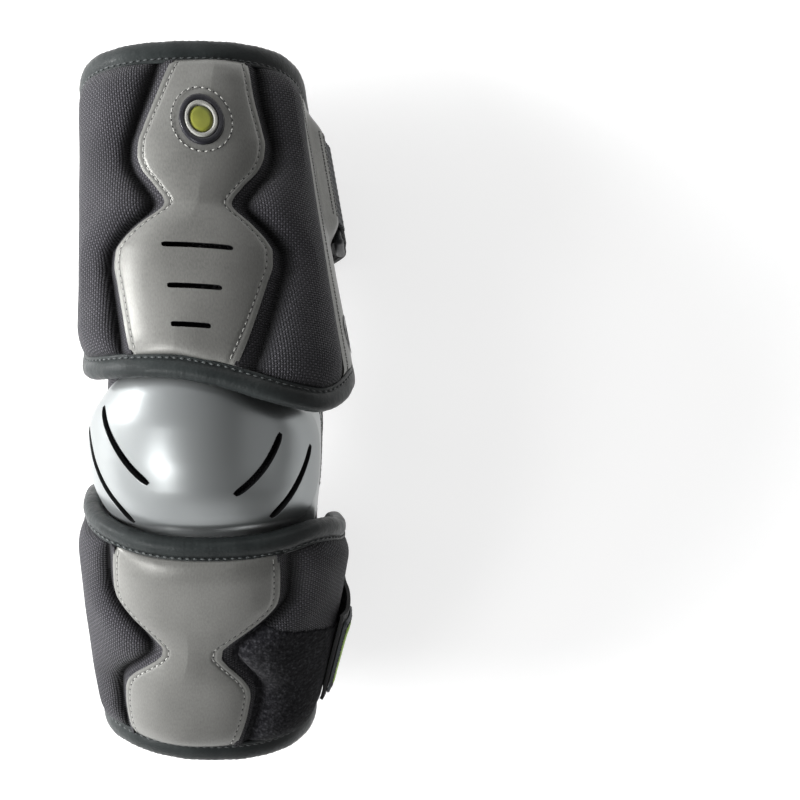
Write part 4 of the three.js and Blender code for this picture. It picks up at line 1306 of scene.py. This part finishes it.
def lipPlace(u, v):
    turn = blend(wingLip["from"], wingLip["edge"], u)
    along = slider["along"] + (2 * v - 1) * wingLip["halfLength"]
    return lipPoint(turn, along, 0), (turn * degreeLength, along)


addSlider()
layPiece("wing_lip", wingLip, lipPlace)
print("straps and slider")

# Pull tab at the end of the lower strap: rubber patch, raised tapered frame, rows of studs
tabTaper = 4
patch = {
    "from": 0.01, "to": 0.165, "width": 43, "length": 34, "bottom": 0.7, "top": 1.8, "corner": 4, "rim": 1.2,
    "seam": (0.35, 2.2, 0.6), "thickness": 1.0, "grid": (70, 60), "look": ("patchRubber", "patch_rubber"),
    "smooth": 50,
}
inlay = {
    "from": 0.022, "to": 0.153, "width": 34, "bottom": 1.6, "top": 2.4, "rimShare": 1 / 6, "thickness": 0.8,
    "window": {"front": 0.26, "back": 0.9, "side": 0.1, "taper": 0.06}, "grid": (160, 10), "girth": 100,
    "band": 4, "look": ("limeRubber", "patch_frame"), "edit": closedRound, "smooth": 50,
    "reshape": lambda obj: editAll(obj, faceOut),
}
studs = {
    "columns": 3, "rows": 8, "from": 0.34, "to": 0.82, "side": 0.18, "size": (2.6, 1.5, 0.9), "height": 1.6,
}


def tabPoint(plate, x, y, height):
    sideways = 0.5 + (x - 0.5) * (plate["width"] - tabTaper * y) / lowerStrap["width"]
    share = blend(plate["from"], plate["to"], y)
    return stripPoint(lowerStrapRows, share, sideways, strapThickness / 2 + height)


def patchPlace(u, v):
    end = np.minimum(v, 1 - v) * patch["length"]
    narrow = 1 - 2 * patch["corner"] / patch["width"] * (1 - pillow(end / patch["corner"]))
    away = np.minimum(np.minimum(u, 1 - u) * patch["width"], end)
    depth, inset, run = patch["seam"]
    height = blend(patch["bottom"], patch["top"], pillow(away / patch["rim"]))
    points = tabPoint(patch, 0.5 + (0.5 - u) * narrow, v, height - depth * bell((away - inset) / run))
    return points, (u * patch["width"], v * patch["length"])


def roundedBox(angle, low, high, power=0.35):
    middle, half = (np.array(low) + high) / 2, (np.array(high) - low) / 2
    waves = (np.cos(angle), np.sin(angle))
    return [middle[k] + half[k] * np.sign(wave) * np.abs(wave) ** power for k, wave in enumerate(waves)]


def inlayPlace(u, v):
    window = inlay["window"]
    angle = 2 * math.pi * u + math.pi / 4
    outerX, outerY = roundedBox(angle, (0, 0), (1, 1))
    low, high = (window["side"], window["front"]), (1 - window["side"], window["back"])
    innerX, innerY = roundedBox(angle, low, high)
    innerX = 0.5 + (innerX - 0.5) * (1 - window["taper"] * innerY)
    height = blend(inlay["bottom"], inlay["top"], pillow(np.minimum(v, 1 - v) / inlay["rimShare"]))
    points = tabPoint(inlay, blend(innerX, outerX, v), blend(innerY, outerY, v), height)
    return points, (u * inlay["girth"], v * inlay["band"])


def addStuds():
    places = []
    for row in range(studs["rows"]):
        for column in range(studs["columns"] - row % 2):
            side = (column + 0.5 * (row % 2)) / (studs["columns"] - 1)
            x = blend(studs["side"], 1 - studs["side"], row / (studs["rows"] - 1))
            places.append((x, blend(studs["from"], studs["to"], side)))
    x, y = np.array(places).T
    middle, normal = raised(lambda height: tabPoint(inlay, x, y, height), studs["height"])
    along = unit(tabPoint(inlay, x, y + 0.01, studs["height"]) - middle)
    sew("patch_studs", [placeThreads(middle, along, normal, studs["size"])], "limeRubber", "patch_frame")


layPiece("strap_patch", patch, patchPlace)
layPiece("patch_inlay", inlay, inlayPlace)
addStuds()
print("pull tab")

# Loop pile over the far half of the right lower cheek, with a slightly wavy top edge
frontLoop = {
    "from": 0.07, "to": 0.95, "topInner": 0.35, "topOuter": 0.5, "end": 0.985, "lift": 0.6, "seat": 0.2,
    "waves": ((0.002, 41), (0.0015, 97)), "tuft": 0.15, "tuftRates": (2.3, 2.1), "tuftSway": (1.7, 1.3),
    "tuftRim": 2, "rim": 1.5, "width": 40, "length": 60, "thickness": 0.7, "grid": (84, 112), "look": pile,
    "smooth": 60, "held": "laid", "restsOn": ["lower_cheek_right"],
}


def pilePlace(u, v):
    v = fromElbow(lowerGuard, v)
    side, end = np.minimum(u, 1 - u) * frontLoop["width"], np.minimum(v, 1 - v) * frontLoop["length"]
    edge = np.minimum(side, end)
    top = blend(frontLoop["topInner"], frontLoop["topOuter"], u)
    top = top + sum(size * np.sin(u * turns) for size, turns in frontLoop["waves"])
    x = blend(frontLoop["from"], frontLoop["to"], u)
    turn, along, height, _ = padFace(pads["lower_cheek_right"], x, padShare(blend(top, frontLoop["end"], v)))
    (alongRate, turnRate), (alongSway, turnSway) = frontLoop["tuftRates"], frontLoop["tuftSway"]
    tuft = np.sin(along * alongRate + np.sin(turn * alongSway))
    tuft = tuft * np.sin(turn * turnRate + turnSway * np.sin(along))
    tuft = frontLoop["tuft"] * tuft * np.clip(edge / frontLoop["tuftRim"], 0, 1)
    height = height + frontLoop["seat"] + frontLoop["lift"] * pillow(edge / frontLoop["rim"]) + tuft
    return guardPoint(lowerGuard, turn, along, height), (turn * degreeLength, along)


# Oval boss on the upper overlay: black rim, silver ring, olive middle (finish, outer and inner reach, height)
badge = {
    "share": 0.772, "halfWidth": 9.6, "halfLength": 12.6, "seat": 7.6, "rimShare": 1 / 3, "thickness": 0.6,
    "grid": (72, 12), "girth": 60, "band": 6, "edit": closedRound, "smooth": 50,
    "rings": {
        "badge_rim": ("badgeGloss", 1.0, 0.7, 1.9),
        "badge_ring": ("badgeSilver", 0.74, 0.52, 2.1),
        "badge_centre": ("badgeOlive", 0.54, 0.0, 1.8),
    },
}


def addBadgeRing(name, finish, outer, inner, top):
    def place(u, v):
        angle = -2 * math.pi * u
        reach = blend(outer, inner, v)
        swell = pillow((np.minimum(v, 1 - v) if inner > 0 else v) / badge["rimShare"])
        x, y = reach * np.cos(angle) * badge["halfWidth"], reach * np.sin(angle) * badge["halfLength"]
        points = overlayPlace(badge["share"], x, y, badge["seat"] + top * swell)
        return points, (u * badge["girth"], v * badge["band"])

    nodes = ["badge"] if name == "badge_rim" else []
    layPiece(name, {**badge, "look": (finish, "badge_gloss"), "nodes": nodes}, place)


layPiece("lower_loop_front", frontLoop, pilePlace)
for ringName, ringValues in badge["rings"].items():
    addBadgeRing(ringName, *ringValues)
print("pile and boss")

# Ring and arrow printed on the right wing, which show the way up
mark = {
    "turn": 87, "along": 25, "outer": 8.4, "inner": 7.1, "lift": 0.35, "shaft": 0.8, "head": 2.7,
    "neck": 0.56, "length": 10.4, "thickness": 0.2, "look": ("printInk", "silver_leather"), "nodes": [],
    "edit": closedRound, "smooth": None,
}


def markPoint(x, y):
    height = pads["upper_wing_right"]["crown"] + mark["lift"]
    return guardPoint(upperGuard, mark["turn"] + x / degreeLength, mark["along"] + y, height)


def ringPlace(u, v):
    angle = -2 * math.pi * u
    reach = blend(mark["outer"], mark["inner"], v)
    return markPoint(reach * np.cos(angle), reach * np.sin(angle)), (u, v)


def arrowPlace(u, v):
    half = np.where(v < mark["neck"], mark["shaft"], mark["head"] * (1 - v) / (1 - mark["neck"]))
    return markPoint((2 * u - 1) * half, (v - 0.5) * mark["length"]), (u, v)


layPiece("mark_ring", {**mark, "grid": (72, 3)}, ringPlace)
layPiece("mark_arrow", {**mark, "grid": (4, 24)}, arrowPlace)

# Sewing: threads with a dark dot between each two, painted shade standing for a needle hole
seams = {
    "pitch": 3.3, "thread": (2.4, 0.75, 0.7), "hole": (0.9, 0.9, 0.5), "lift": 0.05,
    "run": np.linspace(0.02, 0.98, 160),
    "sides": {
        "upper_overlay": (2.8, (-1, 1)), "lower_overlay": (2.8, (-1, 1)),
        "upper_wing_right": (5.0, (-1,)), "upper_wing_left": (5.0, (1,)),
    },
}
badgeSeam = {"outside": 3, "height": 8.3, "samples": 90}
foldSeam = {"turns": (86.4, 89), "halfRun": 20.5, "lift": 0.1, "samples": 60}
flangeSeam = {"from": -48, "to": 12, "inset": 7, "lift": 0.1, "samples": 50}
patchSeam = {"low": (0.06, 0.06), "high": (0.94, 0.94), "lift": 0.1, "samples": 160, "start": 0.01}


def sewLines(name, lines, thread="silverThread", slot="silver_leather"):
    rows = [stitchRow(*line, seams["pitch"], seams["thread"]) for line in lines]
    sew(name + "_stitches", rows, thread, slot)
    # Dark dots of painted shade stand for the needle holes
    holes = [stitchRow(*line, seams["pitch"], seams["hole"], 0.5) for line in lines]
    sew(name + "_holes", holes, "needleHoleShade", slot)


def sideLine(name, inset, side):
    spec, share = pads[name], seams["run"]
    left, right = padSpan(spec["guard"], spec["kind"], share)
    x = inset / ((right - left) * degreeLength)
    turn, along, top, _ = padFace(spec, x if side < 0 else 1 - x, share)
    return raised(lambda height: guardPoint(spec["guard"], turn, along, top + height), seams["lift"])


def badgeLine():
    angle = np.linspace(0, 2 * math.pi, badgeSeam["samples"])
    x = (badge["halfWidth"] + badgeSeam["outside"]) * np.cos(angle)
    y = (badge["halfLength"] + badgeSeam["outside"]) * np.sin(angle)
    return raised(lambda height: overlayPlace(badge["share"], x, y, height), badgeSeam["height"])


def foldLine(turn):
    run = slider["along"] + np.linspace(-1, 1, foldSeam["samples"]) * foldSeam["halfRun"]
    across = lipPoint(turn + 0.5, run, 0) - lipPoint(turn - 0.5, run, 0)
    onward = lipPoint(turn, run + 0.5, 0) - lipPoint(turn, run - 0.5, 0)
    return lipPoint(turn, run, foldSeam["lift"]), unit(np.cross(across, onward))


def flangeLine(side):
    y = np.linspace(flangeSeam["from"], flangeSeam["to"], flangeSeam["samples"])
    turn = side * (readTable(capReach, "turn", y) - flangeSeam["inset"])
    top = capHeight(turn, y)
    return raised(lambda height: elbowPoint(turn, y, top + height), flangeSeam["lift"])


def patchLine():
    angle = np.linspace(0, 2 * math.pi, patchSeam["samples"]) + patchSeam["start"]
    x, y = roundedBox(angle, patchSeam["low"], patchSeam["high"])
    return raised(lambda height: tabPoint(patch, x, y, patch["top"] + height), patchSeam["lift"])


for seamName, (seamInset, seamSides) in seams["sides"].items():
    sewLines(seamName, [sideLine(seamName, seamInset, side) for side in seamSides])
sewLines("badge", [badgeLine()])
sewLines("wing_fold", [foldLine(turn) for turn in foldSeam["turns"]])
sewLines("cap_flange", [flangeLine(side) for side in (-1, 1)], slot="cap_shell")
sewLines("patch", [patchLine()], "darkThread", "patch_rubber")
print("sewing")
